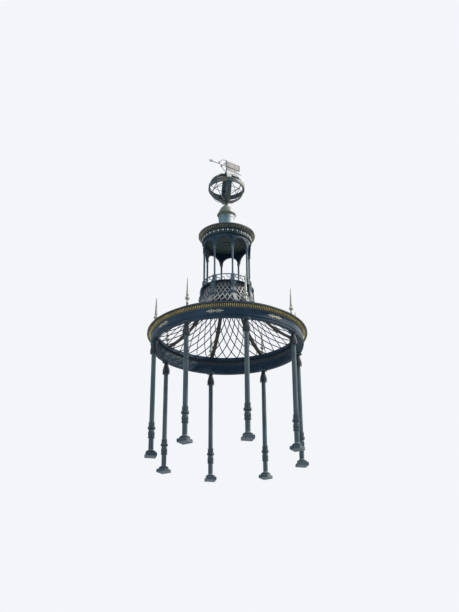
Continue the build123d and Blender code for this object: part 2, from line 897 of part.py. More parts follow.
# Central rod: knob on the cap, rod through the sphere, collar and pin for the vane
with BuildPart() as spindle:
    with BuildSketch(Plane.XZ):
        knob_top = cap_top + spindle_knob_height
        pin_top = vane_foot + vane_bore_depth - vane_rest_gap
        with BuildLine():
            Line((0, cap_top), (cap_head_radius, cap_top))
            ThreePointArc(
                (cap_head_radius, cap_top),
                (spindle_knob_radius, (cap_top + knob_top) / 2),
                (spindle_radius, knob_top),
            )
            Polyline(
                (spindle_radius, knob_top),
                (spindle_radius, upright_top),
                (vane_collar_radius, upright_top),
                (vane_collar_radius, sphere_top + vane_collar_height),
                (vane_pin_radius, sphere_top + vane_collar_height),
                (vane_pin_radius, pin_top),
                (0, pin_top),
                (0, cap_top),
            )
        make_face()
    revolve(axis=Axis.Z)
write_piece(spindle.part, "spindle")


# Vane: sleeve on the pin, level rod with its pointer, and two bent brackets
vane_plane = upright_plane(vane_heading)
bracket_foot = vane_foot + bracket_bar
bracket_head = vane_top - bracket_bar

with BuildPart() as vane_arm:
    with BuildSketch(Plane.XY.offset(vane_foot)):
        Circle(vane_sleeve_radius)
    extrude(amount=vane_sleeve_height)
    fillet(vane_arm.edges().sort_by(Axis.Z)[-1], vane_sleeve_radius / 2)
    with BuildSketch(vane_plane):
        Polygon(
            (0, vane_rod_height),
            (0, vane_rod_height + vane_rod_radius),
            (vane_pointer_length - pointer_blade_length, vane_rod_height + vane_rod_radius),
            (vane_pointer_length - pointer_blade_length * 0.8, vane_rod_height + pointer_blade_radius),
            (vane_pointer_length, vane_rod_height),
            align=None,
        )
    rod_axis = Axis((0, 0, vane_rod_height), tuple(vane_plane.x_dir))
    revolve(axis=rod_axis)
    with Locations(vane_plane.from_local_coords(
        (vane_pointer_length - pointer_blade_length - pointer_ball_radius, vane_rod_height)
    )):
        Sphere(pointer_ball_radius)
    with BuildSketch(vane_plane):
        with BuildLine():
            ThreePointArc(
                (0, bracket_head),
                (upper_bracket_reach * 0.62, vane_rod_height + (bracket_head - vane_rod_height) * 0.8),
                (upper_bracket_reach, vane_rod_height),
            )
        trace(line_width=bracket_bar)
        with BuildLine():
            ThreePointArc(
                (0, bracket_foot),
                (lower_bracket_reach * 0.62, vane_rod_height + (bracket_foot - vane_rod_height) * 0.72),
                (lower_bracket_reach, vane_rod_height),
            )
        trace(line_width=bracket_bar)
    extrude(amount=bracket_bar / 2, both=True)
    with BuildSketch(Plane.XY.offset(vane_foot)):
        Circle(vane_pin_radius + vane_running_clearance)
    extrude(amount=vane_bore_depth, mode=Mode.SUBTRACT)
write_piece(vane_arm.part, "vane_arm")


# Flag on the other side of the sleeve, with a long lower tail
with BuildPart() as vane_flag:
    with BuildSketch(vane_plane):
        with BuildLine():
            Polyline(
                (-vane_sleeve_radius, vane_rod_height + flag_top_rise),
                (-flag_length, vane_rod_height + flag_top_rise),
                (-flag_length, vane_rod_height),
            )
            Line((-flag_length, vane_rod_height), (-flag_length * 0.72, vane_rod_height - flag_foot_drop * 0.3))
            ThreePointArc(
                (-flag_length * 0.72, vane_rod_height - flag_foot_drop * 0.3),
                (-flag_length * 0.9, vane_rod_height - flag_tail_drop * 0.8),
                (-flag_tail_length, vane_rod_height - flag_tail_drop - flag_tail_width / 2),
            )
            Line(
                (-flag_tail_length, vane_rod_height - flag_tail_drop - flag_tail_width / 2),
                (-flag_tail_length * 0.98, vane_rod_height - flag_tail_drop - flag_tail_width),
            )
            ThreePointArc(
                (-flag_tail_length * 0.98, vane_rod_height - flag_tail_drop - flag_tail_width),
                (-flag_length * 0.5, vane_rod_height - flag_foot_drop),
                (-vane_sleeve_radius, vane_rod_height - flag_foot_drop * 0.9),
            )
            Line(
                (-vane_sleeve_radius, vane_rod_height - flag_foot_drop * 0.9),
                (-vane_sleeve_radius, vane_rod_height + flag_top_rise),
            )
        make_face()
    extrude(amount=flag_thickness / 2, both=True)
write_piece(vane_flag.part, "vane_flag")
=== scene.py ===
# %% [markdown]
# An open iron garden kiosk: eight slim columns carry a ring beam with a gilt cornice, a lattice
# roof, a drum, a lantern, an openwork sphere and a wind vane. The frame holds every load-bearing
# piece at its real size. This script gives each of those pieces its finish and adds what a caster
# or a gilder would add: leaves, tongues, scrolls, rivets and seams.

# %% Load the frame
import json
from math import atan2, cos, hypot, pi, radians, sin

import bmesh
import bpy
from mathutils import Matrix, Vector


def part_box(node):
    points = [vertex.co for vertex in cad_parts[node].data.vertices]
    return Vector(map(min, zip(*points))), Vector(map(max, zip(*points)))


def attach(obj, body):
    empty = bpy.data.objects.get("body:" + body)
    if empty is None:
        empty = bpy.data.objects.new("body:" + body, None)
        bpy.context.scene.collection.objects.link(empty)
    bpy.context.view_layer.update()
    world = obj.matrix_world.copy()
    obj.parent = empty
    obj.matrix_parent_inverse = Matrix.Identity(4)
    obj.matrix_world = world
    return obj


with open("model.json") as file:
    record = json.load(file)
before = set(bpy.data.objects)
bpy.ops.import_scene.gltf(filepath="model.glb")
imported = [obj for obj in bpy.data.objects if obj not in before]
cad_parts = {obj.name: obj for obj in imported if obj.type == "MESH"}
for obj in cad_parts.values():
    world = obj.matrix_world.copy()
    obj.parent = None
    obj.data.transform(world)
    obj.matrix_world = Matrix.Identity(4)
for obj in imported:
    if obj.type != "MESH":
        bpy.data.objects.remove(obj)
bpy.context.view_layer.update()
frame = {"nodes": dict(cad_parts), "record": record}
nodes = frame["nodes"]

# %% [markdown]
# Most of the added pieces stand in a ring round the kiosk's upright axis. So the first values are
# the few radii and heights that they sit on, all read from the frame, and the angles of the eight
# columns and of the bays between them.

# %% Radii, heights and angles read from the frame
SIDES = 8
COLUMNS = [f"column_{number}" for number in range(1, SIDES + 1)]


def centre_of(node):
    """Middle of a node's box."""
    low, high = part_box(node)
    return (low + high) / 2


first_column = centre_of(COLUMNS[0])
COLUMN_CIRCLE = hypot(first_column.x, first_column.y)
COLUMN_ANGLES = [atan2(centre_of(name).y, centre_of(name).x) for name in COLUMNS]
BAY = 2 * pi / SIDES
BAY_ANGLES = [angle + BAY / 2 for angle in COLUMN_ANGLES]
print("column circle", round(COLUMN_CIRCLE, 3), "first column at", round(COLUMN_ANGLES[0], 3))

# %% [markdown]
# Blender's operators act on whatever is selected, and the frame arrives selected. These helpers
# empty the selection, make one piece active, and pick parts of its mesh by where they are, which
# is what a modeller does with a box select.


# %% Selection helpers
def deselect():
    """Leave edit mode and select nothing."""
    if bpy.context.object and bpy.context.object.mode != "OBJECT":
        bpy.ops.object.mode_set(mode="OBJECT")
    bpy.ops.object.select_all(action="DESELECT")


def activate(piece):
    """Make one piece the only selected and the active one."""
    deselect()
    piece.select_set(True)
    bpy.context.view_layer.objects.active = piece


def pick(piece, kind, test):
    """Enter edit mode with only the vertices, edges or faces selected that pass the test."""
    activate(piece)
    bpy.ops.object.mode_set(mode="EDIT")
    bpy.ops.mesh.select_mode(type=kind)
    bpy.ops.mesh.select_all(action="DESELECT")
    shape = bmesh.from_edit_mesh(piece.data)
    if kind == "FACE":
        for face in shape.faces:
            face.select = test(face)
    elif kind == "EDGE":
        for edge in shape.edges:
            edge.select = test((edge.verts[0].co + edge.verts[1].co) / 2)
    else:
        for corner in shape.verts:
            corner.select = test(corner.co)
    shape.select_flush_mode()
    bmesh.update_edit_mesh(piece.data)


def name_piece(name):
    """Name the active piece and its mesh, and settle its place into the mesh."""
    piece = bpy.context.object
    piece.name = name
    piece.data.name = name
    bpy.ops.object.transform_apply(location=True, rotation=True, scale=True)
    return piece


def join(pieces, name):
    """Join pieces into one mesh."""
    deselect()
    for piece in pieces:
        piece.select_set(True)
    bpy.context.view_layer.objects.active = pieces[0]
    bpy.ops.object.join()
    return name_piece(name)


def copy_of(piece, matrix):
    """A copy with its own mesh, moved by a matrix that goes into the mesh."""
    activate(piece)
    bpy.ops.object.duplicate(linked=False)
    twin = bpy.context.object
    twin.data.transform(matrix)
    return twin


def round_axis(piece, count):
    """Repeat a piece round the kiosk's axis with an Array modifier that turns about an empty."""
    deselect()
    bpy.ops.object.empty_add(rotation=(0, 0, 2 * pi / count))
    turn = bpy.context.object
    activate(piece)
    bpy.ops.object.modifier_add(type="ARRAY")
    array = piece.modifiers[-1]
    array.use_relative_offset = False
    array.use_object_offset = True
    array.offset_object = turn
    array.count = count
    bpy.ops.object.modifier_apply(modifier=array.name)
    bpy.data.objects.remove(turn)
    return piece


def turned(angle):
    """Matrix that turns a thing about the kiosk's axis."""
    return Matrix.Rotation(angle, 4, "Z")


# %% [markdown]
# Finishes come first, so that each piece can be painted as it is made. Node maths is hard to read
# as a list of nodes and links. Three small classes let it be written as formulas: Shade wraps one
# socket and overloads the operators, Nodes makes every other node of a tree, and Finish is a
# material under construction, with the few questions that a weathered finish asks of a surface.


# %% Shader maths as Python
class Shade:
    """One output socket, on which plain Python maths adds Math nodes."""

    def __init__(self, finish, socket):
        self.finish = finish
        self.socket = socket

    def _maths(self, operation, *sides):
        node = self.finish.tree.nodes.new("ShaderNodeMath")
        node.operation = operation
        for side, slot in zip(sides, node.inputs):
            self.finish.feed(slot, side)
        return Shade(self.finish, node.outputs[0])

    def __add__(self, other):
        return self._maths("ADD", self, other)

    def __radd__(self, other):
        return self._maths("ADD", other, self)

    def __sub__(self, other):
        return self._maths("SUBTRACT", self, other)

    def __rsub__(self, other):
        return self._maths("SUBTRACT", other, self)

    def __mul__(self, other):
        return self._maths("MULTIPLY", self, other)

    def __truediv__(self, other):
        return self._maths("DIVIDE", self, other)

    def __pow__(self, other):
        return self._maths("POWER", self, other)

    def most(self, other):
        return self._maths("MAXIMUM", self, other)


class Nodes:
    """Makes the nodes of one tree."""

    def __init__(self, tree):
        self.tree = tree

    def feed(self, slot, value):
        """Link a Shade to a socket, or write a plain value into it."""
        if isinstance(value, Shade):
            self.tree.links.new(value.socket, slot)
        else:
            slot.default_value = value

    def node(self, kind, settings=None, out=0, **inputs):
        """Any node: its type, its settings, the output wanted, and the values or links of its inputs."""
        node = self.tree.nodes.new(kind)
        for name, value in (settings or {}).items():
            setattr(node, name, value)
        sockets = {slot.identifier: slot for slot in node.inputs}
        sockets.update({slot.name: slot for slot in reversed(node.inputs) if slot.enabled})
        for name, value in inputs.items():
            self.feed(sockets[name.replace("_", " ") if name not in sockets else name], value)
        outputs = {slot.name: slot for slot in reversed(node.outputs) if slot.enabled}
        return Shade(self, outputs[out] if isinstance(out, str) else node.outputs[out])


class Finish(Nodes):
    """A material under construction."""

    def __init__(self, name):
        self.material = bpy.data.materials.new(name)
        self.material.use_nodes = True
        super().__init__(self.material.node_tree)
        self.shader = self.tree.nodes["Principled BSDF"]
        self.place = self.node("ShaderNodeTexCoord", out="Object")

    def noise(self, scale, detail, stretch=(1, 1, 1), seat=(0, 0, 0)):
        """Soft noise, its scale in waves per metre, stretched along the axes and shifted by its seat."""
        place = self.node("ShaderNodeMapping", Vector=self.place, Scale=stretch, Location=seat)
        return self.node("ShaderNodeTexNoise", Vector=place, Scale=scale, Detail=detail)

    def between(self, value, low, high):
        """0 below low and 1 above high, with a smooth step between."""
        settings = {"interpolation_type": "SMOOTHSTEP"}
        return self.node("ShaderNodeMapRange", settings, Value=value, From_Min=low, From_Max=high)

    def mix(self, share, under, over):
        """Mix two colours."""
        settings = {"data_type": "RGBA", "clamp_factor": True}
        under = under if isinstance(under, Shade) else (*under, 1)
        over = over if isinstance(over, Shade) else (*over, 1)
        return self.node(
            "ShaderNodeMix", settings, out="Result", Factor_Float=share, A_Color=under, B_Color=over
        )

    def along(self, axis):
        """One coordinate of a point of the object, in metres."""
        return self.node("ShaderNodeSeparateXYZ", out=axis, Vector=self.place)

    def facing(self, direction):
        """How far a surface looks in a direction: 1 straight at it, -1 away from it."""
        normal = self.node("ShaderNodeTexCoord", out="Normal")
        settings = {"operation": "DOT_PRODUCT"}
        return self.node("ShaderNodeVectorMath", settings, out="Value", Vector=normal, Vector_001=direction)

    def radius(self):
        """Distance of a point of the object from the kiosk's axis, in metres."""
        return (self.along("X") ** 2 + self.along("Y") ** 2) ** 0.5

    def facing_out(self):
        """How far a surface looks away from the kiosk's axis: 1 outwards, -1 inwards."""
        flat = self.node("ShaderNodeCombineXYZ", X=self.along("X"), Y=self.along("Y"))
        return self.facing(flat) / self.radius()

    def set(self, **sockets):
        """Write or link the shader's own sockets."""
        for name, value in sockets.items():
            self.feed(self.shader.inputs[name.replace("_", " ")], value)

    def bump(self, height, distance):
        """Feed a height into the shader's normal through a Bump node."""
        self.set(Normal=self.node("ShaderNodeBump", Height=height, Distance=distance, Strength=0.5))


# %% [markdown]
# The ironwork is painted, and the paint is old. It fades in broad patches, carries pale dust on what
# faces up, and lets rust through in small spots where water sits. Its sunny side is painted paler,
# which is painted sunlight. In a band of height it is painted pale all round and most on the sunny
# side: painted sunlight at the roof's head, the consoles' foot and the drum's foot, where its fading
# out upwards is the painted shade of the gallery. Some pieces have another tone on the side towards
# the axis; on the drum this inner tone is painted shade. One function makes all of the paints, so
# that they stay one family.


# %% Old paint on iron
SUNNY_SIDE = (0.88, 0.22, 0.42)
PAINTED_SUN_TONE = (0.36, 0.38, 0.37)
PAINTED_LIGHT_TONE = (0.54, 0.54, 0.51)
DUST = (0.36, 0.34, 0.29)
RUST = (0.20, 0.075, 0.028)


def old_paint(
    name, tone, faded, rust=0.25, gloss=0.40, shine=0.35, painted_sun=0.25, inside=None, painted_light_band=None
):
    """Oil paint with faded patches, run-down streaks, dust and rust, and another tone inside if given.

    The argument after shine is the share of painted sunlight on the sunny side. The band of painted
    light is the height where it is full, the height above or below it where it has faded out, and how
    much of it falls all round, not only on the sunny side. On the drum, the inside tone is painted shade.
    """
    finish = Finish(name)
    patches = finish.between(finish.noise(1.7, 4), 0.42, 0.62)
    streaks = finish.between(finish.noise(9, 4, stretch=(1, 1, 0.12)), 0.46, 0.7)
    fine = finish.noise(60, 3)
    colour = finish.mix(patches * 0.7 + fine * 0.3, tone, faded)
    colour = finish.mix(streaks * 0.35, colour, tuple(0.55 * part for part in tone))
    # Painted sunlight: the side that faces the sun lamp is painted paler.
    painted_sun_share = finish.between(finish.facing(SUNNY_SIDE), 0.45, 0.95) * (painted_sun + patches * 0.3)
    colour = finish.mix(painted_sun_share, colour, PAINTED_SUN_TONE)
    # Painted light in a band of height: pale all round and most on the sunny side, fading out past the
    # band. Above the drum's foot, that fading is painted shade under the gallery.
    if painted_light_band:
        lit_height, shade_height, lit_all_round = painted_light_band
        painted_light_share = 1 - finish.between(finish.along("Z"), lit_height, shade_height)
        sunlit = finish.between(finish.facing(SUNNY_SIDE), 0.0, 0.45)
        colour = finish.mix(painted_light_share * (lit_all_round + sunlit * (0.80 - lit_all_round)), colour, PAINTED_LIGHT_TONE)
    top = finish.between(finish.facing((0, 0, 1)), 0.35, 0.95)
    dusty = top * finish.between(finish.noise(14, 4), 0.35, 0.6) * 0.5
    colour = finish.mix(dusty, colour, DUST)
    spots = finish.between(finish.noise(23, 6, seat=(3, 1, 0)), 0.63, 0.72) * rust
    colour = finish.mix(spots, colour, RUST)
    # The tone on the side towards the axis; on the drum it is painted shade inside.
    if inside:
        colour = finish.mix(finish.between(finish.facing_out(), -0.3, 0.5), inside, colour)
    rough = gloss + fine * 0.16 + dusty * 0.3 + spots * 0.35
    finish.set(Base_Color=colour, Roughness=rough, Metallic=0.0, Specular_IOR_Level=shine)
    finish.bump(fine + spots * 2, 0.0006)
    return finish.material


# %% [markdown]
# The photograph shows this paint in several tones: nearly black on the beam and the lantern, paler
# on the columns and the rail, and almost white at the drum's foot. Each piece gets its own pair of
# tones here, fresh and faded, and its own share of painted sunlight on the sunny side. The heights
# bound the bands of painted light at the roof's head, the consoles' foot and the drum's foot, whose
# fading out upwards is painted shade under the gallery.

# %% The kiosk's paints
DRUM_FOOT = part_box("drum_sill")[1].z
ROOF_HEAD = (DRUM_FOOT - 0.16, DRUM_FOOT - 0.40)
CONSOLE_FOOT = (DRUM_FOOT + 0.08, DRUM_FOOT + 0.22, 0.06)
ROOF_TONES = (0.014, 0.032, 0.054), (0.030, 0.052, 0.076)

COLUMN_PAINT = old_paint("column_paint", (0.040, 0.076, 0.098), (0.082, 0.125, 0.148), rust=0.3)
BEAM_PAINT = old_paint(
    "beam_paint", (0.010, 0.037, 0.070), (0.020, 0.056, 0.098), rust=0.1, shine=0.2, painted_sun=0.1
)
RIB_PAINT = old_paint(
    "rib_paint", (0.090, 0.125, 0.150), (0.180, 0.215, 0.235), rust=0.3, painted_sun=0.5,
    inside=(0.062, 0.054, 0.044), painted_light_band=(*ROOF_HEAD, 0.04),
)
SILL_PAINT = old_paint("sill_paint", *ROOF_TONES, rust=0.12)
NET_PAINT = old_paint(
    "net_paint", *ROOF_TONES, rust=0.12, inside=(0.020, 0.040, 0.062), painted_light_band=(*ROOF_HEAD, 0.60)
)
# The drum's dark inside tone is painted shade, and the pale band at its foot is painted sunlight.
DRUM_PAINT = old_paint(
    "drum_paint", (0.200, 0.206, 0.208), (0.360, 0.345, 0.330), rust=0.3, painted_sun=0.6,
    inside=(0.040, 0.036, 0.038), painted_light_band=(DRUM_FOOT + 0.06, DRUM_FOOT + 0.30, 0.40),
)
CONSOLE_PAINT = old_paint(
    "console_paint", (0.022, 0.050, 0.080), (0.046, 0.084, 0.122), rust=0.15, shine=0.25,
    painted_light_band=CONSOLE_FOOT,
)
CONSOLE_TRIM_PAINT = old_paint(
    "console_trim_paint", (0.034, 0.070, 0.104), (0.070, 0.116, 0.156), rust=0.15, painted_light_band=CONSOLE_FOOT
)
CAPITAL_PAINT = old_paint("capital_paint", (0.012, 0.023, 0.034), (0.030, 0.046, 0.060))
LANTERN_PAINT = old_paint(
    "lantern_paint", (0.006, 0.027, 0.052), (0.016, 0.048, 0.080), rust=0.1, shine=0.2, painted_sun=0.4
)
SHAFT_PAINT = old_paint(
    "lantern_shaft_paint", (0.045, 0.095, 0.140), (0.090, 0.155, 0.205), rust=0.1, painted_sun=0.8
)
RAIL_PAINT = old_paint("rail_paint", (0.120, 0.180, 0.225), (0.220, 0.285, 0.325), rust=0.15, painted_sun=0.7)
CEILING_PAINT = old_paint(
    "ceiling_paint", (0.018, 0.044, 0.044), (0.038, 0.068, 0.064), rust=0.1, gloss=0.55
)
print("paints mixed", len(bpy.data.materials), "- the drum's foot is at", round(DRUM_FOOT, 3))

# %% [markdown]
# Gilding is leaf over a yellow ground. Weather dulls it towards brown in the hollows and leaves it
# bright where rain polishes it, so the colour, the metal share and the roughness change together. A
# duller version covers the lantern's cornice, and a paler one, nearly cream, the ornaments of both
# friezes.


# %% Gilding: bright, old and pale
def gilding(name, bright, dull, worn, metal):
    """Gold leaf that has dulled in patches and lost some of its shine."""
    finish = Finish(name)
    patches = finish.between(finish.noise(5, 4), 0.38, 0.66)
    specks = finish.between(finish.noise(38, 4, seat=(0, 2, 5)), 0.58, 0.72)
    colour = finish.mix(patches, bright, dull)
    colour = finish.mix(specks * 0.7, colour, worn)
    rough = 0.34 + patches * 0.16 + specks * 0.25
    finish.set(Base_Color=colour, Metallic=metal - specks * 0.5, Roughness=rough)
    finish.bump(finish.noise(70, 3), 0.0008)
    return finish.material


GILT = gilding("gilt", (0.68, 0.54, 0.19), (0.42, 0.35, 0.14), (0.14, 0.12, 0.07), metal=0.4)
OLD_GILT = gilding("old_gilt", (0.40, 0.38, 0.24), (0.18, 0.19, 0.14), (0.06, 0.08, 0.08), metal=0.3)
PALE_GILT = gilding("pale_gilt", (0.78, 0.74, 0.52), (0.60, 0.59, 0.44), (0.32, 0.33, 0.26), metal=0.15)

# %% [markdown]
# The gilt tongues of both cornices hang in a cove, whose own ground is a dull brown that sets them
# off. The slab over the cove and the side towards the inside are painted dark. The cove's foot is
# dark paint as well, which also stands for the painted shadow under the gilt band. The frame has each
# cornice as one piece, so its finish reads the height and the distance from the axis and changes
# over there.


# %% Cornice ground, brown in the cove and dark elsewhere
def cornice_ground(name, brown, deep, foot_height, slab_height, back_radius):
    """Dull brown in the cove; dark paint above it and towards the inside, and below it dark paint that is
    also painted shadow.
    """
    finish = Finish(name)
    height = finish.along("Z")
    # Painted shadow under the gilt band: the cove's foot is painted dark.
    below = 1 - finish.between(height, foot_height - 0.003, foot_height + 0.003)
    above = finish.between(height, slab_height - 0.003, slab_height - 0.001)
    inside = 1 - finish.between(finish.radius(), back_radius - 0.004, back_radius + 0.004)
    dark = below.most(above).most(inside)
    patches = finish.between(finish.noise(6, 4), 0.38, 0.64)
    fine = finish.noise(48, 3)
    cove = finish.mix(patches, brown, deep)
    paint_tone = finish.mix(fine, (0.012, 0.026, 0.040), (0.026, 0.046, 0.062))
    colour = finish.mix(dark, cove, paint_tone)
    finish.set(Base_Color=colour, Metallic=0.3 - dark * 0.3, Roughness=0.42 + fine * 0.16)
    finish.bump(fine, 0.0008)
    return finish.material


cornice_low, cornice_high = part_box("cornice")
MAIN_FOOT = cornice_low.z + 0.030
MAIN_SLAB = cornice_high.z - 0.028
MAIN_BACK = 1.965
MAIN_CORNICE = cornice_ground(
    "main_cornice", (0.050, 0.042, 0.028), (0.026, 0.026, 0.022), MAIN_FOOT, MAIN_SLAB, MAIN_BACK
)
lantern_cornice_low, lantern_cornice_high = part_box("lantern_cornice")
LANTERN_FOOT = lantern_cornice_low.z + 0.006
LANTERN_SLAB = lantern_cornice_high.z - 0.034
LANTERN_BACK = 0.680
LANTERN_CORNICE = cornice_ground(
    "lantern_cornice_ground", (0.052, 0.062, 0.054), (0.024, 0.036, 0.038),
    LANTERN_FOOT, LANTERN_SLAB, LANTERN_BACK,
)
print("coves", round(MAIN_SLAB - MAIN_FOOT, 3), "and", round(LANTERN_SLAB - LANTERN_FOOT, 3), "high")

# %% [markdown]
# The pedestal, its cap and the lantern's roof are sheet metal gone grey-green, painted nearly white
# on the sunny side as painted sunlight. Rain draws long runs down it, which a noise stretched along
# Z gives. The pale lances and the flag's grey sheet weather alike, so the same function makes them,
# with its painted sunlight, and bands of height give a piece its darker parts. The sphere and the
# vane are darker bronze that keeps some old gilding in patches; painted sunlight makes them paler
# on the sunny side, at the vane's tip and on the top of the sphere.


# %% Patina, bronze and grey sheet
GROUND, SKY = 0, 10
OLIVE = (0.060, 0.078, 0.044)


def patina(name, pale, deep, runs_and_sunlit_tone, sunny_from=-0.1, zones=()):
    """Weathered sheet metal with rain runs and painted sunlight; each zone is a lower and an upper height
    and its colour.
    """
    finish = Finish(name)
    runs = finish.between(finish.noise(11, 5, stretch=(1, 1, 0.09)), 0.38, 0.66)
    clouds = finish.between(finish.noise(3.2, 5), 0.36, 0.64)
    colour = finish.mix(clouds, pale, deep)
    height = finish.along("Z")
    for low, high, tone in zones:
        above = finish.between(height, low - 0.006, low + 0.006)
        colour = finish.mix(above - finish.between(height, high - 0.006, high + 0.006), colour, tone)
    # Painted sunlight: the sunny side turns towards the pale tone of the runs, nearly white.
    sunny = finish.between(finish.facing(SUNNY_SIDE), sunny_from, sunny_from + 0.6)
    colour = finish.mix(runs * 0.15 + sunny * (0.6 + runs * 0.3), colour, runs_and_sunlit_tone)
    finish.set(Base_Color=colour, Roughness=0.5 + runs * 0.2, Metallic=0.15)
    finish.bump(runs + finish.noise(45, 3) * 0.5, 0.0012)
    return finish.material


def bronze(name, dark, old_gold, share, pale=(0.55, 0.53, 0.40), tip=None, sunlit_crown=None):
    """Dark bronze with old gilding in patches, painted paler on its sunny side as painted sunlight.

    Past the radius given as tip it is painted pale as sunlight on the vane's tip, and so is what
    faces the sky above the height given last, as painted sunlight on the top of the sphere.
    """
    finish = Finish(name)
    left = finish.between(finish.noise(4.5, 5, seat=(7, 0, 2)), 0.46, 0.62) * share
    fine = finish.noise(30, 4)
    # Painted sunlight: the sunny side is painted pale and less metallic.
    sunny = finish.between(finish.facing(SUNNY_SIDE), 0.45, 0.85) * (0.35 + fine * 0.8)
    colour = finish.mix(left, finish.mix(fine, dark, tuple(1.9 * part for part in dark)), old_gold)
    colour = finish.mix(sunny, colour, pale)
    # Painted sunlight on the vane's tip.
    if tip:
        beyond = finish.between(finish.radius(), tip - 0.004, tip + 0.004)
        colour = finish.mix(beyond, colour, (0.50, 0.58, 0.55))
    # Painted sunlight on the top of the sphere, where the bands face up and a little forward.
    if sunlit_crown:
        high = finish.between(finish.along("Z"), sunlit_crown - 0.03, sunlit_crown + 0.03)
        upturned = finish.between(finish.facing((0.15, -0.35, 0.92)), 0.40, 0.65)
        colour = finish.mix(high * upturned * 0.9, colour, (0.74, 0.74, 0.66))
    rough = 0.46 - left * 0.1 + fine * 0.1
    finish.set(Base_Color=colour, Metallic=0.3 + left * 0.3 - sunny * 0.3, Roughness=rough)
    finish.bump(fine, 0.0008)
    return finish.material


cap_low, cap_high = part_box("pedestal_cap")
curb_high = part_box("roof_curb")[1]
# The verdigris is painted nearly white on its sunny side: painted sunlight.
VERDIGRIS = patina(
    "verdigris", (0.110, 0.215, 0.260), (0.064, 0.150, 0.190), (0.74, 0.76, 0.74), sunny_from=-0.05,
    zones=((cap_low.z - 0.110, SKY, OLIVE),),
)
CAP_PATINA = patina(
    "cap_patina", (0.150, 0.195, 0.170), (0.088, 0.118, 0.098), (0.70, 0.72, 0.66), sunny_from=0.05,
    zones=((GROUND, cap_low.z + 0.030, OLIVE), (cap_high.z - 0.085, SKY, (0.012, 0.020, 0.026))),
)
LANCE_PAINT = patina(
    "lance_paint", (0.44, 0.45, 0.36), (0.30, 0.33, 0.27), (0.82, 0.82, 0.72),
    zones=((GROUND, curb_high.z + 0.075, (0.020, 0.040, 0.055)),),
)
FLAG_SHEET = patina("flag_sheet", (0.205, 0.205, 0.225), (0.150, 0.150, 0.170), (0.30, 0.28, 0.27))

SPHERE_TONES = (0.018, 0.038, 0.054), (0.15, 0.145, 0.07), 0.5
SPHERE_BRONZE = bronze("sphere_bronze", *SPHERE_TONES)
# The upright bands carry painted sunlight on the top of the sphere.
SPHERE_BAND = bronze("sphere_band", *SPHERE_TONES, sunlit_crown=centre_of("upright_bands").z + 0.040)
SPHERE_GILT = bronze("sphere_gilt", (0.040, 0.060, 0.066), (0.27, 0.25, 0.13), 0.8)
VANE_TONES = (0.022, 0.036, 0.046), (0.16, 0.16, 0.11), 0.3, (0.45, 0.55, 0.55)
VANE_IRON = bronze("vane_iron", *VANE_TONES)
# The arm's tip is painted pale: painted sunlight.
VANE_ARM = bronze("vane_arm_iron", *VANE_TONES, tip=0.455)
print("finishes in all", len(bpy.data.materials))

# %% [markdown]
# The record gives every node of the frame a slot, and most nodes take the finish of their slot.
# Where the photograph shows pieces of one slot in different tones, such as the drum's pale lattice
# on its dark sill, a second table names the finish of the node itself. What is modelled here gets
# its finish from one function, which also smooths it, so that no piece is forgotten.

# %% Paint the frame's own pieces
FINISH_OF_SLOT = {
    "column_paint": COLUMN_PAINT,
    "beam_paint": BEAM_PAINT,
    "roof_paint": RIB_PAINT,
    "lantern_paint": LANTERN_PAINT,
    "ceiling_paint": CEILING_PAINT,
    "patina": VERDIGRIS,
    "sphere_metal": SPHERE_BRONZE,
    "vane_sheet": FLAG_SHEET,
}
FINISH_OF_NODE = {
    "cornice": MAIN_CORNICE,
    "lance_finials": LANCE_PAINT,
    "drum_sill": SILL_PAINT,
    "drum_lattice_1": DRUM_PAINT,
    "drum_lattice_2": DRUM_PAINT,
    "drum_consoles": CONSOLE_PAINT,
    "gallery_rail": RAIL_PAINT,
    "lantern_columns": SHAFT_PAINT,
    "lantern_cornice": LANTERN_CORNICE,
    "pedestal_cap": CAP_PATINA,
    "upright_bands": SPHERE_BAND,
    "vane_arm": VANE_ARM,
}
slot_of = {row["node"]: row["material_slot"] for row in frame["record"]["subparts"]}


def paint(piece, material):
    """Give a piece one material."""
    piece.data.materials.clear()
    piece.data.materials.append(material)


for name, node in nodes.items():
    if name.startswith("roof_lattice"):
        paint(node, NET_PAINT)
    elif name in FINISH_OF_NODE:
        paint(node, FINISH_OF_NODE[name])
    else:
        paint(node, FINISH_OF_SLOT[slot_of[name]])
print("painted", len(nodes), "frame pieces")


def finish_piece(piece, material, body="kiosk"):
    """Paint a new piece, smooth it by angle, and make it move with its body."""
    paint(piece, material)
    activate(piece)
    bpy.ops.object.shade_smooth_by_angle(angle=radians(38))
    deselect()
    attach(piece, body)
    print(piece.name, len(piece.data.polygons), "faces")
    return piece


# %% [markdown]
# Leaves, petals, scrolls and curls all start as the same thing: a short edge that is drawn out
# step by step, as a smith draws a bar, and widened or narrowed at each step. It runs in the XZ
# plane, X is the side that shows, and its middle line can be raised into a rib. Solidify then
# gives it its thickness. Only the list of steps differs from leaf to leaf.


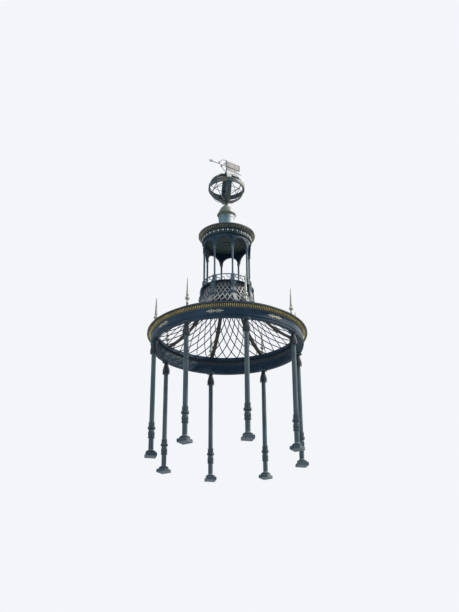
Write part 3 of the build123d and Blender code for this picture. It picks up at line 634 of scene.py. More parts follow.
# %% A leaf drawn out from an edge
def drawn_leaf(name, steps, thickness, rib=0.0, smooth=0):
    """Draw a leaf through steps of (outward, up, width), lowest first."""
    deselect()
    bpy.ops.mesh.primitive_plane_add(size=1, rotation=(0, -pi / 2, 0))
    leaf = name_piece(name)
    pick(leaf, "VERT", lambda corner: True)
    bpy.ops.mesh.bisect(plane_co=(0, 0, 0), plane_no=(0, 1, 0))
    pick(leaf, "VERT", lambda corner: corner.z > 0)
    bpy.ops.mesh.delete(type="VERT")
    bpy.ops.mesh.select_all(action="SELECT")
    out, up, width = steps[0]
    bpy.ops.transform.translate(value=(out, 0, up + 0.5))
    bpy.ops.transform.resize(value=(1, width, 1), center_override=(0, 0, 0))
    for next_out, next_up, next_width in steps[1:]:
        bpy.ops.mesh.extrude_edges_move(TRANSFORM_OT_translate={"value": (next_out - out, 0, next_up - up)})
        bpy.ops.transform.resize(value=(1, next_width / width, 1), center_override=(0, 0, 0))
        out, up, width = next_out, next_up, next_width
    if rib:
        pick(leaf, "VERT", lambda corner: abs(corner.y) < 1e-5)
        bpy.ops.transform.shrink_fatten(value=rib)
    activate(leaf)
    bpy.ops.object.modifier_add(type="SOLIDIFY")
    leaf.modifiers[-1].thickness = thickness
    leaf.modifiers[-1].offset = -1
    bpy.ops.object.modifier_apply(modifier=leaf.modifiers[-1].name)
    if smooth:
        bpy.ops.object.modifier_add(type="SUBSURF")
        leaf.modifiers[-1].levels = smooth
        leaf.modifiers[-1].render_levels = smooth
        bpy.ops.object.modifier_apply(modifier=leaf.modifiers[-1].name)
    return leaf


def ring_of(leaf, count, centre=(0, 0, 0), start=0.0):
    """Copies of a leaf round an upright axis through a centre; the first leaf is used up."""
    place = Matrix.Translation(centre)
    ring = [copy_of(leaf, place @ turned(start + 2 * pi * index / count)) for index in range(count)]
    name = leaf.name
    bpy.data.objects.remove(leaf)
    return join(ring, name)


# %% [markdown]
# The plainer trim starts from Blender's own shapes: a bar is a cube with some of its edges
# bevelled, a boss is a flattened ball, and a bead that runs round the axis is a torus. Trim for a
# curved face is laid out flat, where it is easy to measure, and then wrapped round the axis.


# %% Bars, bosses and beads
def bevelled_bar(name, place, size, bevel, which=lambda middle: True, segments=2):
    """A bar from a cube, with a bevel on the edges whose middles pass the test."""
    deselect()
    bpy.ops.mesh.primitive_cube_add(size=1, location=place, scale=size)
    bar = name_piece(name)
    pick(bar, "EDGE", which)
    bpy.ops.mesh.bevel(offset=bevel, segments=segments)
    deselect()
    return bar


def ball(name, radius, place, squash=(1, 1, 1), segments=12):
    """A small boss: a ball, flattened as asked."""
    deselect()
    bpy.ops.mesh.primitive_uv_sphere_add(
        segments=segments, ring_count=segments // 2, radius=radius, location=place, scale=squash
    )
    return name_piece(name)


def hoop(name, radius, thickness, height, segments=96):
    """A round bead that runs in a ring about the kiosk's axis."""
    deselect()
    bpy.ops.mesh.primitive_torus_add(
        major_radius=radius, minor_radius=thickness, location=(0, 0, height),
        major_segments=segments, minor_segments=8,
    )
    return name_piece(name)


def wrap(piece, radius):
    """Lay a piece that was made flat against the YZ plane round a cylinder of that radius."""
    for corner in piece.data.vertices:
        angle = corner.co.y / radius
        reach = radius + corner.co.x
        corner.co = (reach * cos(angle), reach * sin(angle), corner.co.z)
    piece.data.update()
    return piece


# %% [markdown]
# The cornice's gilt band is a row of small tongues, some 260 of them, hanging side by side under
# the dark top slab. Each is modelled once from a cube: its front corners are bevelled, its foot
# drawn in, and its top leaned out along the cove. An Array that turns about the axis sets them in
# a ring.


# %% Gilt tongues of the two cornices
def tongue_ring(name, count, foot, top, depth, share):
    """Tongues between a foot and a top, each given as (radius, height)."""
    width = 2 * pi * foot[0] / count * share
    lean = (top[0] - foot[0]) / 2
    middle = (foot[0] + top[0]) / 2
    tongues = bevelled_bar(
        name, (middle, 0, (top[1] + foot[1]) / 2), (depth, width, top[1] - foot[1]), depth * 0.42,
        lambda place: place.x > middle + depth * 0.4 and abs(place.y) > width * 0.4,
    )
    pick(tongues, "FACE", lambda face: face.normal.z < -0.9)
    bpy.ops.transform.resize(value=(1, 0.5, 1))
    bpy.ops.transform.translate(value=(-lean, 0, 0))
    pick(tongues, "FACE", lambda face: face.normal.z > 0.9)
    bpy.ops.transform.translate(value=(lean, 0, 0))
    return round_axis(tongues, count)


beam_low, beam_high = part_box("ring_beam")
tongues = tongue_ring(
    "cornice_tongues",
    count=33 * SIDES,
    foot=(beam_high.x + 0.002, MAIN_FOOT + 0.002),
    top=(cornice_high.x - 0.062, MAIN_SLAB - 0.001),
    depth=0.020,
    share=0.46,
)
finish_piece(tongues, GILT)

frieze_low, frieze_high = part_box("lantern_frieze")
small_tongues = tongue_ring(
    "lantern_cornice_tongues",
    count=9 * SIDES,
    foot=(frieze_high.x + 0.014, LANTERN_FOOT + 0.004),
    top=(lantern_cornice_high.x - 0.020, LANTERN_SLAB - 0.004),
    depth=0.012,
    share=0.45,
)
finish_piece(small_tongues, OLD_GILT)

# %% [markdown]
# One spread ornament sits in the middle of each bay, on the plain frieze under the gilt band. It
# is a pair of laurel sprays: small leaves stand in pairs along a level stem and shrink towards its
# ends, so that together they fill a long pointed oval. The sprays are drawn flat and then wrapped
# round the beam.


# %% Frieze ornaments
BEAM_OUTER = beam_high.x - 0.014
LOWER_BAND = 0.088
ORNAMENT_HEIGHT = (beam_low.z + LOWER_BAND + beam_high.z) / 2
PAIR, END_LEAF = (40, 140), (90,)

laurel = drawn_leaf(
    "laurel_leaf",
    [(0.003, 0.000, 0.008), (0.012, 0.020, 0.024), (0.014, 0.042, 0.026), (0.009, 0.066, 0.014),
     (0.004, 0.084, 0.003)],
    thickness=0.006, rib=0.004, smooth=1,
)
sprays = []
for station, share, tilts in (
    (0.020, 0.80, PAIR),
    (0.066, 0.92, PAIR),
    (0.112, 0.78, PAIR),
    (0.154, 0.56, PAIR),
    (0.168, 0.85, END_LEAF),
):
    for side in (-1, 1):
        for tilt in tilts:
            place = Matrix.Translation((0, side * station, 0))
            lean = Matrix.Rotation(-side * radians(tilt), 4, "X")
            sprays.append(copy_of(laurel, place @ lean @ Matrix.Scale(share, 4)))
bpy.data.objects.remove(laurel)
stem = bevelled_bar(
    "laurel_stem", (0.004, 0, 0), (0.008, 0.360, 0.009), 0.003, lambda middle: middle.x > 0.006
)
boss = ball("laurel_boss", 0.020, (0.006, 0, 0), squash=(0.8, 1, 1))
ornament = wrap(join([*sprays, stem, boss], "frieze_ornament"), BEAM_OUTER)
ornaments = ring_of(ornament, SIDES, centre=(0, 0, ORNAMENT_HEIGHT), start=BAY_ANGLES[0])
finish_piece(ornaments, PALE_GILT)

# %% [markdown]
# The columns' capitals are buds of hanging leaves: tight at the neck, fullest near the foot, and
# curled out at their tips so that sky shows between tip and shaft. One leaf follows the bud from
# its tip up to the neck. Eight of them make a capital, with eight narrow ones behind the gaps.

# %% Capital leaves
ABACUS_HEIGHT = 0.040
CAPITAL_HEIGHT = 0.290
CAPITAL_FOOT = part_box(COLUMNS[0])[1].z - ABACUS_HEIGHT - CAPITAL_HEIGHT
LEAVES = 8


def at_each_column(piece, circle=COLUMN_CIRCLE, height=0.0):
    """A piece made about the Z axis, moved out to a circle and copied in line with each column."""
    piece.data.transform(Matrix.Translation((circle, 0, height)))
    return ring_of(piece, SIDES, start=COLUMN_ANGLES[0])


wide_leaf = drawn_leaf(
    "capital_wide_leaf",
    [(0.103, -0.014, 0.008), (0.101, -0.028, 0.026), (0.093, -0.014, 0.042), (0.0945, 0.030, 0.060),
     (0.095, 0.072, 0.068), (0.084, 0.130, 0.058), (0.068, 0.190, 0.044), (0.053, 0.250, 0.028),
     (0.046, 0.286, 0.018)],
    thickness=0.005, rib=0.005,
)
thin_leaf = drawn_leaf(
    "capital_thin_leaf",
    [(0.086, -0.006, 0.010), (0.087, 0.030, 0.024), (0.090, 0.072, 0.030), (0.078, 0.130, 0.024),
     (0.060, 0.200, 0.012)],
    thickness=0.005, rib=0.004,
)
capital = join(
    [
        ring_of(wide_leaf, LEAVES),
        ring_of(thin_leaf, LEAVES, start=pi / LEAVES),
        hoop("capital_neck_ring", 0.047, 0.007, 0.276, segments=24),
    ],
    "capital_leaves",
)
finish_piece(at_each_column(capital, height=CAPITAL_FOOT), CAPITAL_PAINT)

# %% [markdown]
# Lower down, each column has two turned collars with a vase between them. A bead runs round each
# collar, a row of upright leaves sheathes the shaft's foot, and smaller ones clasp the vase.

# %% Collar beads and shaft leaves
UPPER_COLLAR = 0.750
LOWER_COLLAR = 0.510
shaft_leaf = drawn_leaf(
    "shaft_leaf",
    [(0.070, 0.000, 0.040), (0.076, 0.040, 0.046), (0.074, 0.090, 0.034), (0.080, 0.122, 0.014),
     (0.088, 0.128, 0.004)],
    thickness=0.004, rib=0.004,
)
sheath = ring_of(shaft_leaf, LEAVES, centre=(0, 0, UPPER_COLLAR + 0.033))
vase_leaf = drawn_leaf(
    "vase_leaf",
    [(0.073, 0.000, 0.040), (0.082, 0.040, 0.048), (0.083, 0.080, 0.034), (0.080, 0.112, 0.006)],
    thickness=0.004, rib=0.004,
)
clasp = ring_of(vase_leaf, LEAVES, centre=(0, 0, LOWER_COLLAR + 0.027))
collar_trim = join(
    [
        sheath,
        clasp,
        hoop("upper_bead", 0.096, 0.006, UPPER_COLLAR + 0.020, segments=32),
        hoop("upper_low_bead", 0.096, 0.006, UPPER_COLLAR - 0.020, segments=32),
        hoop("lower_bead", 0.083, 0.005, LOWER_COLLAR + 0.014, segments=32),
        hoop("lower_low_bead", 0.083, 0.005, LOWER_COLLAR - 0.014, segments=32),
        hoop("foot_bead", 0.128, 0.006, 0.120, segments=40),
    ],
    "column_collar_trim",
)
finish_piece(at_each_column(collar_trim), COLUMN_PAINT)

# %% [markdown]
# The ring beam is seen mostly from below. Two beads edge its soffit and one runs round its inner
# face, where a strip of sun catches it. A row of small buttons stands for the rivet heads that hold
# the plates together. All of them run round the axis, so hoops and an Array are enough.

# %% Beam beads and rivets
BEAM_INNER = 1.950
SUNLIT_BEAD_HEIGHT = beam_low.z + 0.150
RIVET_HEIGHT = beam_low.z + 0.030
RIVETS = 12 * SIDES
beam_beads = join(
    [
        hoop("soffit_outer_bead", BEAM_OUTER - 0.012, 0.008, beam_low.z, segments=192),
        hoop("soffit_inner_bead", BEAM_INNER + 0.012, 0.008, beam_low.z, segments=192),
        hoop("inner_face_bead", BEAM_INNER, 0.010, SUNLIT_BEAD_HEIGHT, segments=192),
    ],
    "beam_beads",
)
finish_piece(beam_beads, BEAM_PAINT)


def rivet(name, radius):
    """A rivet head on the YZ plane: a short cone with its tip cut off."""
    deselect()
    bpy.ops.mesh.primitive_cone_add(
        vertices=8, radius1=radius, radius2=radius * 0.55, depth=radius * 0.8,
        location=(radius * 0.3, 0, 0), rotation=(0, pi / 2, 0),
    )
    return name_piece(name)


band_rivet = rivet("beam_rivets", 0.009)
band_rivet.data.transform(Matrix.Translation((BEAM_OUTER, 0, RIVET_HEIGHT)))
finish_piece(round_axis(band_rivet, RIVETS), BEAM_PAINT)

# %% [markdown]
# A pale painted lance stands over each column, on the curb. Its upper bulb is clasped by six
# petals, and thin rings part the foot, the bulb and the blade. They are made once about the Z axis,
# like the capital, and copied to the eight places.

# %% Petals and rings of the lances
LANCE_SETBACK = 0.041
LANCE_CIRCLE = curb_high.x - LANCE_SETBACK
lance_petal = drawn_leaf(
    "lance_petals",
    [(0.022, 0.166, 0.014), (0.049, 0.192, 0.030), (0.058, 0.218, 0.038), (0.050, 0.246, 0.026),
     (0.038, 0.264, 0.014), (0.042, 0.276, 0.004)],
    thickness=0.004, rib=0.005,
)
lance_rings = [
    hoop(name, radius, 0.004, height, segments=20)
    for name, radius, height in (("foot", 0.040, 0.009), ("neck", 0.020, 0.160), ("blade", 0.035, 0.312))
]
lance_trim = join([ring_of(lance_petal, 6), *lance_rings], "lance_trim")
finish_piece(at_each_column(lance_trim, LANCE_CIRCLE, curb_high.z), LANCE_PAINT)

# %% [markdown]
# Eight S-shaped consoles part the drum's lattice. Each carries a raised band down its front that
# rolls up into a scroll at the head and at the foot. The band and both scrolls are drawn like the
# leaves, only the scrolls' steps follow a spiral.


# %% Console bands and scrolls
SPIRAL_STEPS = 28


def spiral(centre, start_radius, end_radius, start, turns, width):
    """Steps along a spiral, for drawn_leaf; angles in turns from the outward side."""
    steps = []
    for index in range(SPIRAL_STEPS + 1):
        share = index / SPIRAL_STEPS
        angle = 2 * pi * (start + turns * share)
        radius = start_radius + (end_radius - start_radius) * share
        steps.append((centre[0] + radius * cos(angle), centre[1] + radius * sin(angle), width))
    return steps


SILL_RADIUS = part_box("drum_sill")[1].x
FLOOR_LOW, FLOOR_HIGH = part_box("gallery_floor")
DRUM_HEIGHT = FLOOR_LOW.z - DRUM_FOOT
CONSOLE_WIDTH = 0.150
SCROLL_WIDTH = CONSOLE_WIDTH * 1.08
front_line = [(0.006, 0.02), (0.021, 0.10), (0.026, 0.20), (0.011, 0.34), (-0.010, 0.50), (-0.014, 0.64),
              (-0.009, 0.76), (-0.010, 0.84), (-0.020, 0.92)]
front_steps = [
    (SILL_RADIUS + out + 0.003, DRUM_FOOT + share * DRUM_HEIGHT, CONSOLE_WIDTH * 0.5)
    for out, share in front_line
]
head_centre = (SILL_RADIUS - 0.045, FLOOR_LOW.z - 0.036)
head_steps = spiral(head_centre, 0.034, 0.008, start=-0.25, turns=-1.75, width=SCROLL_WIDTH)
foot_centre = (SILL_RADIUS - 0.010, DRUM_FOOT + 0.046)
foot_steps = spiral(foot_centre, 0.043, 0.008, start=0.25, turns=1.75, width=SCROLL_WIDTH)
console_trim = join(
    [
        drawn_leaf("console_front", front_steps, thickness=0.012, rib=0.006),
        drawn_leaf("console_head_scroll", head_steps, thickness=0.006),
        drawn_leaf("console_foot_scroll", foot_steps, thickness=0.006),
    ],
    "console_trim",
)
finish_piece(ring_of(console_trim, SIDES, start=COLUMN_ANGLES[0]), CONSOLE_TRIM_PAINT)

# %% [markdown]
# The gallery's floor has a rounded lip with a smaller one under it, and each square pedestal of its
# rail carries a small four-petalled flower on its outer face, with a moulding above and below. Rings
# part the thin shaft above it from its base and its capital.

# %% Gallery lip, pedestal flowers and mouldings
ARCADE_HALF = 0.022
LANTERN_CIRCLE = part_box("lantern_arcade")[1].x - ARCADE_HALF
PEDESTAL_HALF = 0.048
PEDESTAL_HEIGHT = 0.214
NECK_HEIGHT = 1.060
lip = join(
    [
        hoop("gallery_lip", FLOOR_HIGH.x - 0.002, 0.009, FLOOR_LOW.z + 0.010, segments=128),
        hoop("gallery_lower_lip", FLOOR_HIGH.x - 0.020, 0.008, FLOOR_LOW.z - 0.002, segments=128),
    ],
    "gallery_lips",
)
finish_piece(lip, LANTERN_PAINT)


def fan(name, leaf, angles):
    """Turn copies of a leaf about the X axis, like the fingers of a hand."""
    fingers = [copy_of(leaf, Matrix.Rotation(radians(angle), 4, "X")) for angle in angles]
    bpy.data.objects.remove(leaf)
    return join(fingers, name)


def square_moulding(name, half_width, height, thickness):
    """A band round a square post, with its rim bevelled."""
    return bevelled_bar(name, (0, 0, height), (2 * half_width, 2 * half_width, thickness), thickness * 0.3)


petal = drawn_leaf(
    "flower_petal",
    [(0.002, 0.003, 0.006), (0.007, 0.012, 0.014), (0.006, 0.021, 0.012), (0.003, 0.027, 0.003)],
    thickness=0.003, rib=0.002,
)
flower = fan("pedestal_flower", petal, range(0, 360, 90))
flower.data.transform(Matrix.Translation((PEDESTAL_HALF, 0, PEDESTAL_HEIGHT / 2)))
post_trim = join(
    [
        flower,
        square_moulding("post_foot", PEDESTAL_HALF + 0.006, 0.014, 0.026),
        square_moulding("post_head", PEDESTAL_HALF + 0.005, PEDESTAL_HEIGHT - 0.026, 0.018),
        hoop("shaft_base_ring", 0.031, 0.007, PEDESTAL_HEIGHT + 0.008, segments=24),
        hoop("shaft_upper_base_ring", 0.028, 0.005, PEDESTAL_HEIGHT + 0.024, segments=24),
        hoop("shaft_neck_ring", 0.029, 0.005, NECK_HEIGHT, segments=24),
    ],
    "lantern_post_trim",
)
finish_piece(at_each_column(post_trim, LANTERN_CIRCLE, FLOOR_HIGH.z), RAIL_PAINT)

# %% [markdown]
# The lantern's thin columns have leafy capitals as well. From the ground only their outline shows,
# so one leaf that leans out at its tip, turned into a ring of six, is enough for them.

# %% Leaves of the lantern's small capitals
LANTERN_CAPITAL_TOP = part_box("lantern_columns")[1].z
small_leaf = drawn_leaf(
    "lantern_capital_leaves",
    [(0.029, -0.062, 0.018), (0.033, -0.040, 0.024), (0.040, -0.018, 0.022), (0.051, -0.008, 0.012),
     (0.054, -0.016, 0.004)],
    thickness=0.003, rib=0.003,
)
small_capitals = at_each_column(ring_of(small_leaf, 6), LANTERN_CIRCLE, LANTERN_CAPITAL_TOP)
finish_piece(small_capitals, SHAFT_PAINT)

# %% [markdown]
# Each flat arch of the lantern has a raised moulding. It starts as a circle of vertices squashed
# to the arch's ellipse. The lower half is cut away, the rest is extruded outwards into a flat
# strip and thickened, and the strip is wrapped round the lantern. A rosette fills each spandrel.

# %% Arch mouldings and rosettes
ARCH_RISE = 0.236
ARCH_HALF = LANTERN_CIRCLE * sin(BAY / 2) - 0.032
ARCADE_FACE = LANTERN_CIRCLE + ARCADE_HALF
MOULDING_WIDTH = 0.020
ROSETTE_HEIGHT = LANTERN_CAPITAL_TOP + 0.225

deselect()
bpy.ops.mesh.primitive_circle_add(
    vertices=48, radius=1, location=(0, 0, LANTERN_CAPITAL_TOP), rotation=(pi / 2, 0, pi / 2)
)
bpy.context.object.scale = (ARCH_HALF, ARCH_RISE, 1)
arch = name_piece("arch_mouldings")
pick(arch, "VERT", lambda corner: True)
bpy.ops.mesh.bisect(plane_co=(0, 0, LANTERN_CAPITAL_TOP), plane_no=(0, 0, 1), clear_inner=True)
bpy.ops.mesh.select_all(action="SELECT")
bpy.ops.mesh.extrude_edges_move(TRANSFORM_OT_translate={"value": (0, 0, 0)})
widened = (1, 1 + MOULDING_WIDTH / ARCH_HALF, 1 + MOULDING_WIDTH / ARCH_RISE)
bpy.ops.transform.resize(value=widened, center_override=(0, 0, LANTERN_CAPITAL_TOP))
bpy.ops.mesh.select_all(action="SELECT")
bpy.ops.mesh.extrude_region_move(TRANSFORM_OT_translate={"value": (0.010, 0, 0)})
bpy.ops.mesh.select_all(action="SELECT")
bpy.ops.mesh.normals_make_consistent(inside=False)
activate(arch)
wrap(arch, ARCADE_FACE - 0.002)
arches = ring_of(arch, SIDES, start=BAY_ANGLES[0])

rosette_petal = drawn_leaf(
    "rosette_petal",
    [(0.002, 0.006, 0.008), (0.010, 0.018, 0.018), (0.009, 0.030, 0.018), (0.004, 0.040, 0.004)],
    thickness=0.004, rib=0.003,
)
petals = fan("rosette_petals", rosette_petal, range(0, 360, 45))
eye = ball("rosette_eye", 0.010, (0.004, 0, 0), squash=(0.8, 1, 1), segments=8)
rosette = wrap(join([petals, eye], "spandrel_rosettes"), ARCADE_FACE)
rosettes = ring_of(rosette, SIDES, centre=(0, 0, ROSETTE_HEIGHT), start=COLUMN_ANGLES[0])
finish_piece(join([arches, rosettes], "arch_mouldings"), LANTERN_PAINT)

# %% [markdown]
# The lantern's frieze is a dark band with small gilt ornaments. A plain run of lozenges and round
# studs, turn and turn about, fills it here. A lozenge is a four-sided cone cut low, so that it has
# four sloping faces like a cut stone.

# %% Gilt lozenges and studs on the lantern's frieze
LOZENGES = 32
deselect()
bpy.ops.mesh.primitive_cone_add(
    vertices=4, radius1=0.5, radius2=0.18, depth=1, rotation=(0, pi / 2, 0), scale=(0.092, 0.056, 0.012)
)
lozenge = name_piece("frieze_lozenge")
lozenge.data.transform(Matrix.Translation((0.004, 0, 0)))
pick(lozenge, "FACE", lambda face: face.normal.x > 0.9)
bpy.ops.mesh.inset(thickness=0.004)
bpy.ops.transform.translate(value=(-0.003, 0, 0))
activate(lozenge)
stud = ball("frieze_stud", 0.012, (0.002, 0, 0), squash=(0.6, 1, 1), segments=10)
stud.data.transform(Matrix.Translation((0, 2 * pi * frieze_high.x / LOZENGES / 2, 0)))
frieze_run = wrap(join([lozenge, stud], "lantern_frieze_ornaments"), frieze_high.x)
frieze_run.data.transform(Matrix.Translation((0, 0, (frieze_low.z + frieze_high.z) / 2)))
finish_piece(round_axis(frieze_run, LOZENGES), PALE_GILT)

CEILING_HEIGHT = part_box("lantern_ceiling")[0].z
frieze_beads = join(
    [
        hoop("frieze_lower_bead", frieze_high.x + 0.001, 0.007, frieze_low.z + 0.007, segments=128),
        hoop("frieze_upper_bead", frieze_high.x + 0.001, 0.006, frieze_high.z - 0.006, segments=128),
        hoop("ceiling_ring", 0.420, 0.009, CEILING_HEIGHT, segments=96),
        hoop("ceiling_inner_ring", 0.110, 0.009, CEILING_HEIGHT, segments=48),
    ],
    "lantern_beads",
)
finish_piece(frieze_beads, LANTERN_PAINT)

# %% [markdown]
# The low sheet roof over the lantern is laid in sixteen trays that meet in standing seams. The
# pedestal and its cap are sheet too, with a rolled bead at each joint. A seam is a thin bar, tipped
# to the slope that follows from the roof's edge and its seat, and an Array repeats it.

# %% Roof seams, pedestal and cap beads
roof_low, roof_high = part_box("lantern_roof")
EDGE_RADIUS, EDGE_HEIGHT = roof_high.x, roof_low.z + 0.014
SEAT_RADIUS, SEAT_HEIGHT = 0.280, roof_high.z
TRAYS = 16
across, climb = EDGE_RADIUS - SEAT_RADIUS, SEAT_HEIGHT - EDGE_HEIGHT
seam = bevelled_bar(
    "lantern_roof_seams", (0, 0, 0), (hypot(across, climb), 0.010, 0.022), 0.003,
    lambda middle: middle.z > 0.005,
)
place = Matrix.Translation(((EDGE_RADIUS + SEAT_RADIUS) / 2, 0, (EDGE_HEIGHT + SEAT_HEIGHT) / 2))
seam.data.transform(place @ Matrix.Rotation(atan2(climb, across), 4, "Y"))
finish_piece(round_axis(seam, TRAYS), VERDIGRIS)

pedestal_low, pedestal_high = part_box("sphere_pedestal")
PEDESTAL_RADIUS = 0.230
sheet_beads = join(
    [
        hoop("pedestal_foot_bead", PEDESTAL_RADIUS + 0.003, 0.010, pedestal_low.z + 0.056, segments=64),
        hoop("pedestal_middle_bead", PEDESTAL_RADIUS, 0.008, pedestal_low.z + 0.430, segments=64),
        hoop("pedestal_rim_bead", pedestal_high.x - 0.001, 0.007, pedestal_high.z - 0.017, segments=64),
        hoop("cap_foot_bead", cap_high.x + 0.002, 0.009, cap_low.z + 0.010, segments=64),
    ],
    "sheet_beads",
)
finish_piece(sheet_beads, VERDIGRIS)

# %% [markdown]
# The openwork sphere is made of curved bands. Each band has a raised lip along both edges, and the
# level band carries a ring of plain division marks, as a ring dial does. The lips are hoops whose
# radius follows from the ball: a lip at a distance from the middle lies on a smaller circle. The
# ball is a little flattened, so the upright hoops are scaled along Z.

# %% Lips and division marks of the sphere
level_low, level_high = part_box("level_band")
upright_low, upright_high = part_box("upright_bands")
SPHERE_CENTRE = (level_low.z + level_high.z) / 2
SPHERE_RADIUS = level_high.x
LEVEL_HALF = (level_high.z - level_low.z) / 2
BAND_THICKNESS = 0.014
UPRIGHT_RADIUS = SPHERE_RADIUS - BAND_THICKNESS
UPRIGHT_HALF = 0.071
UPRIGHT_TURN = radians(18.4)
FLATNESS = (upright_high.z - upright_low.z) / 2 / UPRIGHT_RADIUS
LIP = 0.006
DIVISIONS = 60
flatten = Matrix.Scale(FLATNESS, 4, (0, 0, 1))
lift = Matrix.Translation((0, 0, SPHERE_CENTRE))


def smaller_circle(radius, offset):
    """Radius of the circle that lies on a ball at a distance from its middle."""
    return (radius**2 - offset**2) ** 0.5


lips = []
for side in (-1, 1):
    offset = LEVEL_HALF - LIP
    lips.append(hoop("level_lip", smaller_circle(SPHERE_RADIUS, offset / FLATNESS), LIP, side * offset))
for turn in (UPRIGHT_TURN, UPRIGHT_TURN + pi / 2):
    for side in (-1, 1):
        offset = UPRIGHT_HALF - LIP
        lip_ring = hoop("upright_lip", smaller_circle(UPRIGHT_RADIUS, offset) - 0.003, LIP, 0)
        upright = Matrix.Rotation(pi / 2, 4, "Y") @ Matrix.Translation((0, 0, side * offset))
        lip_ring.data.transform(turned(turn) @ flatten @ upright)
        lips.append(lip_ring)
mark = bevelled_bar(
    "division_marks", (SPHERE_RADIUS, 0, -0.030), (0.008, 0.007, 0.045), 0.002,
    lambda middle: middle.x > SPHERE_RADIUS + 0.003, segments=1,
)
lips.append(round_axis(mark, DIVISIONS))
sphere_trim = join(lips, "sphere_lips")
sphere_trim.data.transform(lift)
finish_piece(sphere_trim, SPHERE_GILT)

# %% [markdown]
# Inside the sphere run two small level rings and a slanted one, for the turning sky that such a
# ball shows. They are too thin in the photograph to measure, so the slant is that of the sun's
# path, about a level line whose turn was matched from the camera's side.

# %% Rings inside the sphere
CAMERA_ROUND = radians(8.57)
SLANT = radians(23.5)
SLANT_TURN = CAMERA_ROUND - radians(70)
RING_REACH = UPRIGHT_RADIUS - BAND_THICKNESS - 0.010
rings = [hoop("slanted_ring", RING_REACH, 0.010, 0)]
rings[0].data.transform(Matrix.Rotation(SLANT, 4, Vector((cos(SLANT_TURN), sin(SLANT_TURN), 0))))
for side in (-1, 1):
    offset = side * 0.4 * RING_REACH
    rings.append(hoop("small_ring", smaller_circle(RING_REACH, offset), 0.008, offset))
inner_rings = join(rings, "sphere_inner_rings")
inner_rings.data.transform(lift @ flatten)
finish_piece(inner_rings, SPHERE_BRONZE)

# %% [markdown]
# The vane turns on the spindle, so what is added to it rides on the vane's own body. Its brackets
# end in curls, and the rod has two collars. All of the vane's trim is laid out along X, where it is
# easy to measure, and is turned to the vane's heading last.

# %% Curls and collars of the vane
VANE_HEADING = radians(224)
BRACKET_RISE = 0.215
ROD_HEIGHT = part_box("vane_arm")[1].z - BRACKET_RISE
curl_steps = {
    "upper_curl": spiral((0.252, ROD_HEIGHT + 0.052), 0.040, 0.008, start=0.0, turns=1.6, width=0.013),
    "lower_curl": spiral((0.176, ROD_HEIGHT - 0.046), 0.034, 0.007, start=0.0, turns=-1.6, width=0.013),
    "inner_curl": spiral((0.062, ROD_HEIGHT + 0.060), 0.046, 0.008, start=0.5, turns=-1.5, width=0.013),
}
curls = [drawn_leaf(name, steps, thickness=0.007) for name, steps in curl_steps.items()]
collars = []
for name, station in (("rod_inner_collar", 0.300), ("rod_outer_collar", 0.400)):
    collar = hoop(name, 0.011, 0.005, 0, segments=20)
    collar.data.transform(Matrix.Translation((station, 0, ROD_HEIGHT)) @ Matrix.Rotation(pi / 2, 4, "Y"))
    collars.append(collar)
print("curls and collars", len(curls) + len(collars))

# %% [markdown]
# The flag is a sheet with a rolled edge and a rod in its slot. The dark pattern on it is too small
# to read in the photograph, so a row of plain four-sided beads stands for it. One bead is copied
# along the rod, and the row is turned half round the axis for the flag's other face.

# %% Edge, rod and beads of the flag
flag_bars = [
    bevelled_bar(name, place, size, 0.004)
    for name, place, size in (
        ("flag_top_roll", (-0.254, 0, ROD_HEIGHT + 0.190), (0.470, 0.012, 0.012)),
        ("flag_end_roll", (-0.484, 0, ROD_HEIGHT + 0.095), (0.012, 0.012, 0.190)),
        ("flag_rod", (-0.250, 0, ROD_HEIGHT + 0.010), (0.480, 0.018, 0.022)),
    )
]
BEADS, FIRST_BEAD, BEAD_PITCH = 6, 0.095, 0.071
deselect()
bpy.ops.mesh.primitive_cone_add(
    vertices=4, radius1=0.5, radius2=0.2, depth=1, rotation=(pi / 2, 0, 0), scale=(0.086, 0.062, 0.009)
)
bead = name_piece("flag_bead")
bead.data.transform(Matrix.Translation((-FIRST_BEAD, -0.0075, ROD_HEIGHT + 0.010)))
near_beads = [copy_of(bead, Matrix.Translation((-BEAD_PITCH * index, 0, 0))) for index in range(BEADS)]
bpy.data.objects.remove(bead)
row_ends = 2 * FIRST_BEAD + (BEADS - 1) * BEAD_PITCH
far_beads = [copy_of(bead, turned(pi) @ Matrix.Translation((row_ends, 0, 0))) for bead in near_beads]
vane_trim = join([*curls, *flag_bars, *near_beads, *far_beads, *collars], "vane_trim")
vane_trim.data.transform(turned(VANE_HEADING))
finish_piece(vane_trim, VANE_IRON, body="vane")

# %% [markdown]
# The photograph was taken from well below the kiosk, so the camera stands under the floor's level
# and looks up. Its place and turn come from matching the columns, the ring, the lantern and the
# sphere. The lens is the one that gives the photograph's perspective.

# %% Camera
CAMERA_DISTANCE = 23.047
CAMERA_HEIGHT = -6.366
YAW, PITCH, ROLL = radians(0.167), radians(25.039), radians(-0.353)
FOCAL_PIXELS = 920
LONG_SIDE = 612
SENSOR = 36

ahead = Vector((sin(YAW) * cos(PITCH), cos(YAW) * cos(PITCH), sin(PITCH)))
level_right = Vector((cos(YAW), -sin(YAW), 0))
level_up = level_right.cross(ahead)
right = cos(ROLL) * level_right + sin(ROLL) * level_up
upward = cos(ROLL) * level_up - sin(ROLL) * level_right
look = Matrix((right, upward, -ahead)).transposed().to_4x4()
stand = Matrix.Translation((0, -CAMERA_DISTANCE, CAMERA_HEIGHT))
deselect()
bpy.ops.object.camera_add()
camera = bpy.context.object
camera.name = "photo_camera"
camera.matrix_world = turned(CAMERA_ROUND) @ stand @ look
camera.data.sensor_width = SENSOR
camera.data.lens = FOCAL_PIXELS / LONG_SIDE * SENSOR
camera.data.clip_end = 400
bpy.context.scene.camera = camera
standing_place = [round(v, 3) for v in camera.matrix_world.translation]
print("camera at", standing_place, "lens", round(camera.data.lens, 2))

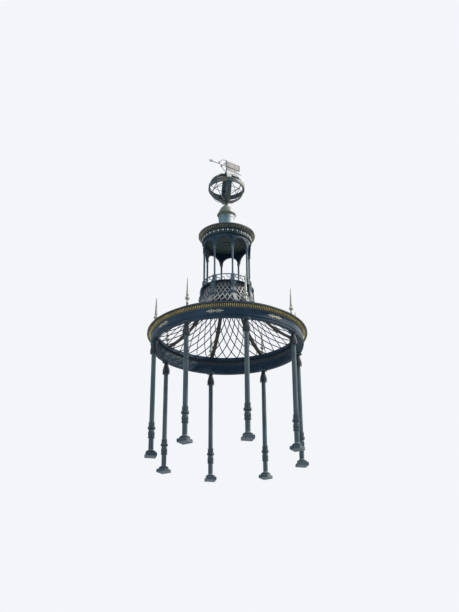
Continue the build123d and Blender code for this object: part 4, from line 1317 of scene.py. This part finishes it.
# %% [markdown]
# The floor is plain and pale. Because the camera is below it, the floor lets rays through from
# underneath and is solid from above: a Mix Shader chooses by the Geometry node's Backfacing. It is
# pale wherever it is seen, and dimmer as a light from below: the Light Path node tells which ray is
# asking. The floor has an opening under each plinth, so that the plinths' undersides aren't black in
# a view from below.


# %% Floor
def seen_directly(tree_nodes):
    """1 where a ray comes from the camera, a reflection or a transmission."""
    rays = [
        tree_nodes.node("ShaderNodeLightPath", out=name)
        for name in ("Is Camera Ray", "Is Glossy Ray", "Is Transmission Ray")
    ]
    return rays[0].most(rays[1]).most(rays[2])


floor_finish = Finish("floor_finish")
floor_tone = floor_finish.mix(seen_directly(floor_finish), (0.30, 0.30, 0.30), (0.80, 0.80, 0.79))
floor_finish.set(Base_Color=floor_tone, Roughness=0.85)
through = floor_finish.node("ShaderNodeBsdfTransparent")
backs = floor_finish.node("ShaderNodeNewGeometry", out="Backfacing")
solid = Shade(floor_finish, floor_finish.shader.outputs[0])
two_sided = floor_finish.node("ShaderNodeMixShader", Fac=backs, Shader=solid, Shader_001=through)
floor_finish.tree.links.new(two_sided.socket, floor_finish.tree.nodes["Material Output"].inputs["Surface"])

deselect()
bpy.ops.mesh.primitive_circle_add(vertices=96, radius=90, fill_type="NGON")
floor = name_piece("floor")
PLINTH_SIDE = 0.280
deselect()
bpy.ops.mesh.primitive_cube_add(size=PLINTH_SIDE - 0.004)
opening = at_each_column(name_piece("plinth_openings"))
activate(floor)
bpy.ops.object.modifier_add(type="BOOLEAN")
floor.modifiers[-1].object = opening
bpy.ops.object.modifier_apply(modifier=floor.modifiers[-1].name)
bpy.data.objects.remove(opening)
pick(floor, "FACE", lambda face: face.calc_center_median().z < -0.001)
bpy.ops.mesh.delete(type="FACE")
deselect()
paint(floor, floor_finish.material)
print("floor faces", len(floor.data.polygons))

# %% [markdown]
# The world has two Background nodes. A weak blue one lights the shaded sides as a clear sky does,
# and a nearly white one is the backdrop that the camera, a reflection or a transmission sees. The
# same question about the ray chooses between them.

# %% World
world = bpy.data.worlds.new("pale_world")
bpy.context.scene.world = world
world.use_nodes = True
sky = Nodes(world.node_tree)
lamp_light = sky.tree.nodes["Background"]
lamp_light.inputs["Color"].default_value = (0.74, 0.86, 1.0, 1)
lamp_light.inputs["Strength"].default_value = 0.55
backdrop = sky.node("ShaderNodeBackground", Color=(0.90, 0.92, 0.95, 1), Strength=1.0)
plain_light = Shade(sky, lamp_light.outputs[0])
both = sky.node("ShaderNodeMixShader", Fac=seen_directly(sky), Shader=plain_light, Shader_001=backdrop)
sky.tree.links.new(both.socket, sky.tree.nodes["World Output"].inputs["Surface"])
print("world nodes", len(world.node_tree.nodes))

# %% [markdown]
# The sun of the photograph stands high to the right, which leaves a thin bright line down every
# column. A warm sun lamp does that here, and a weak, wide one from the left front keeps the shaded
# side readable.


# %% Lamps
def sun(name, round_from_camera, elevation, strength, softness, colour):
    """A sun lamp, placed by its angle from the camera's side of the kiosk and its height."""
    azimuth = CAMERA_ROUND + radians(round_from_camera)
    deselect()
    bpy.ops.object.light_add(type="SUN")
    lamp = bpy.context.object
    lamp.name = name
    lamp.data.energy = strength
    lamp.data.angle = radians(softness)
    lamp.data.color = colour
    rise = radians(elevation)
    towards = Vector((sin(azimuth) * cos(rise), -cos(azimuth) * cos(rise), sin(rise)))
    lamp.rotation_mode = "QUATERNION"
    lamp.rotation_quaternion = towards.to_track_quat("Z", "Y")
    print(name, "strength", strength, "from", round_from_camera, "degrees round and", elevation, "up")


sun("key_sun", round_from_camera=90, elevation=42, strength=3.0, softness=5, colour=(1.0, 0.95, 0.87))
sun("fill_sun", round_from_camera=-40, elevation=15, strength=0.4, softness=40, colour=(0.80, 0.90, 1.0))

# %% [markdown]
# The Standard view shows the colours as they were mixed, without a film curve.

# %% Colour
bpy.context.scene.view_settings.view_transform = "Standard"
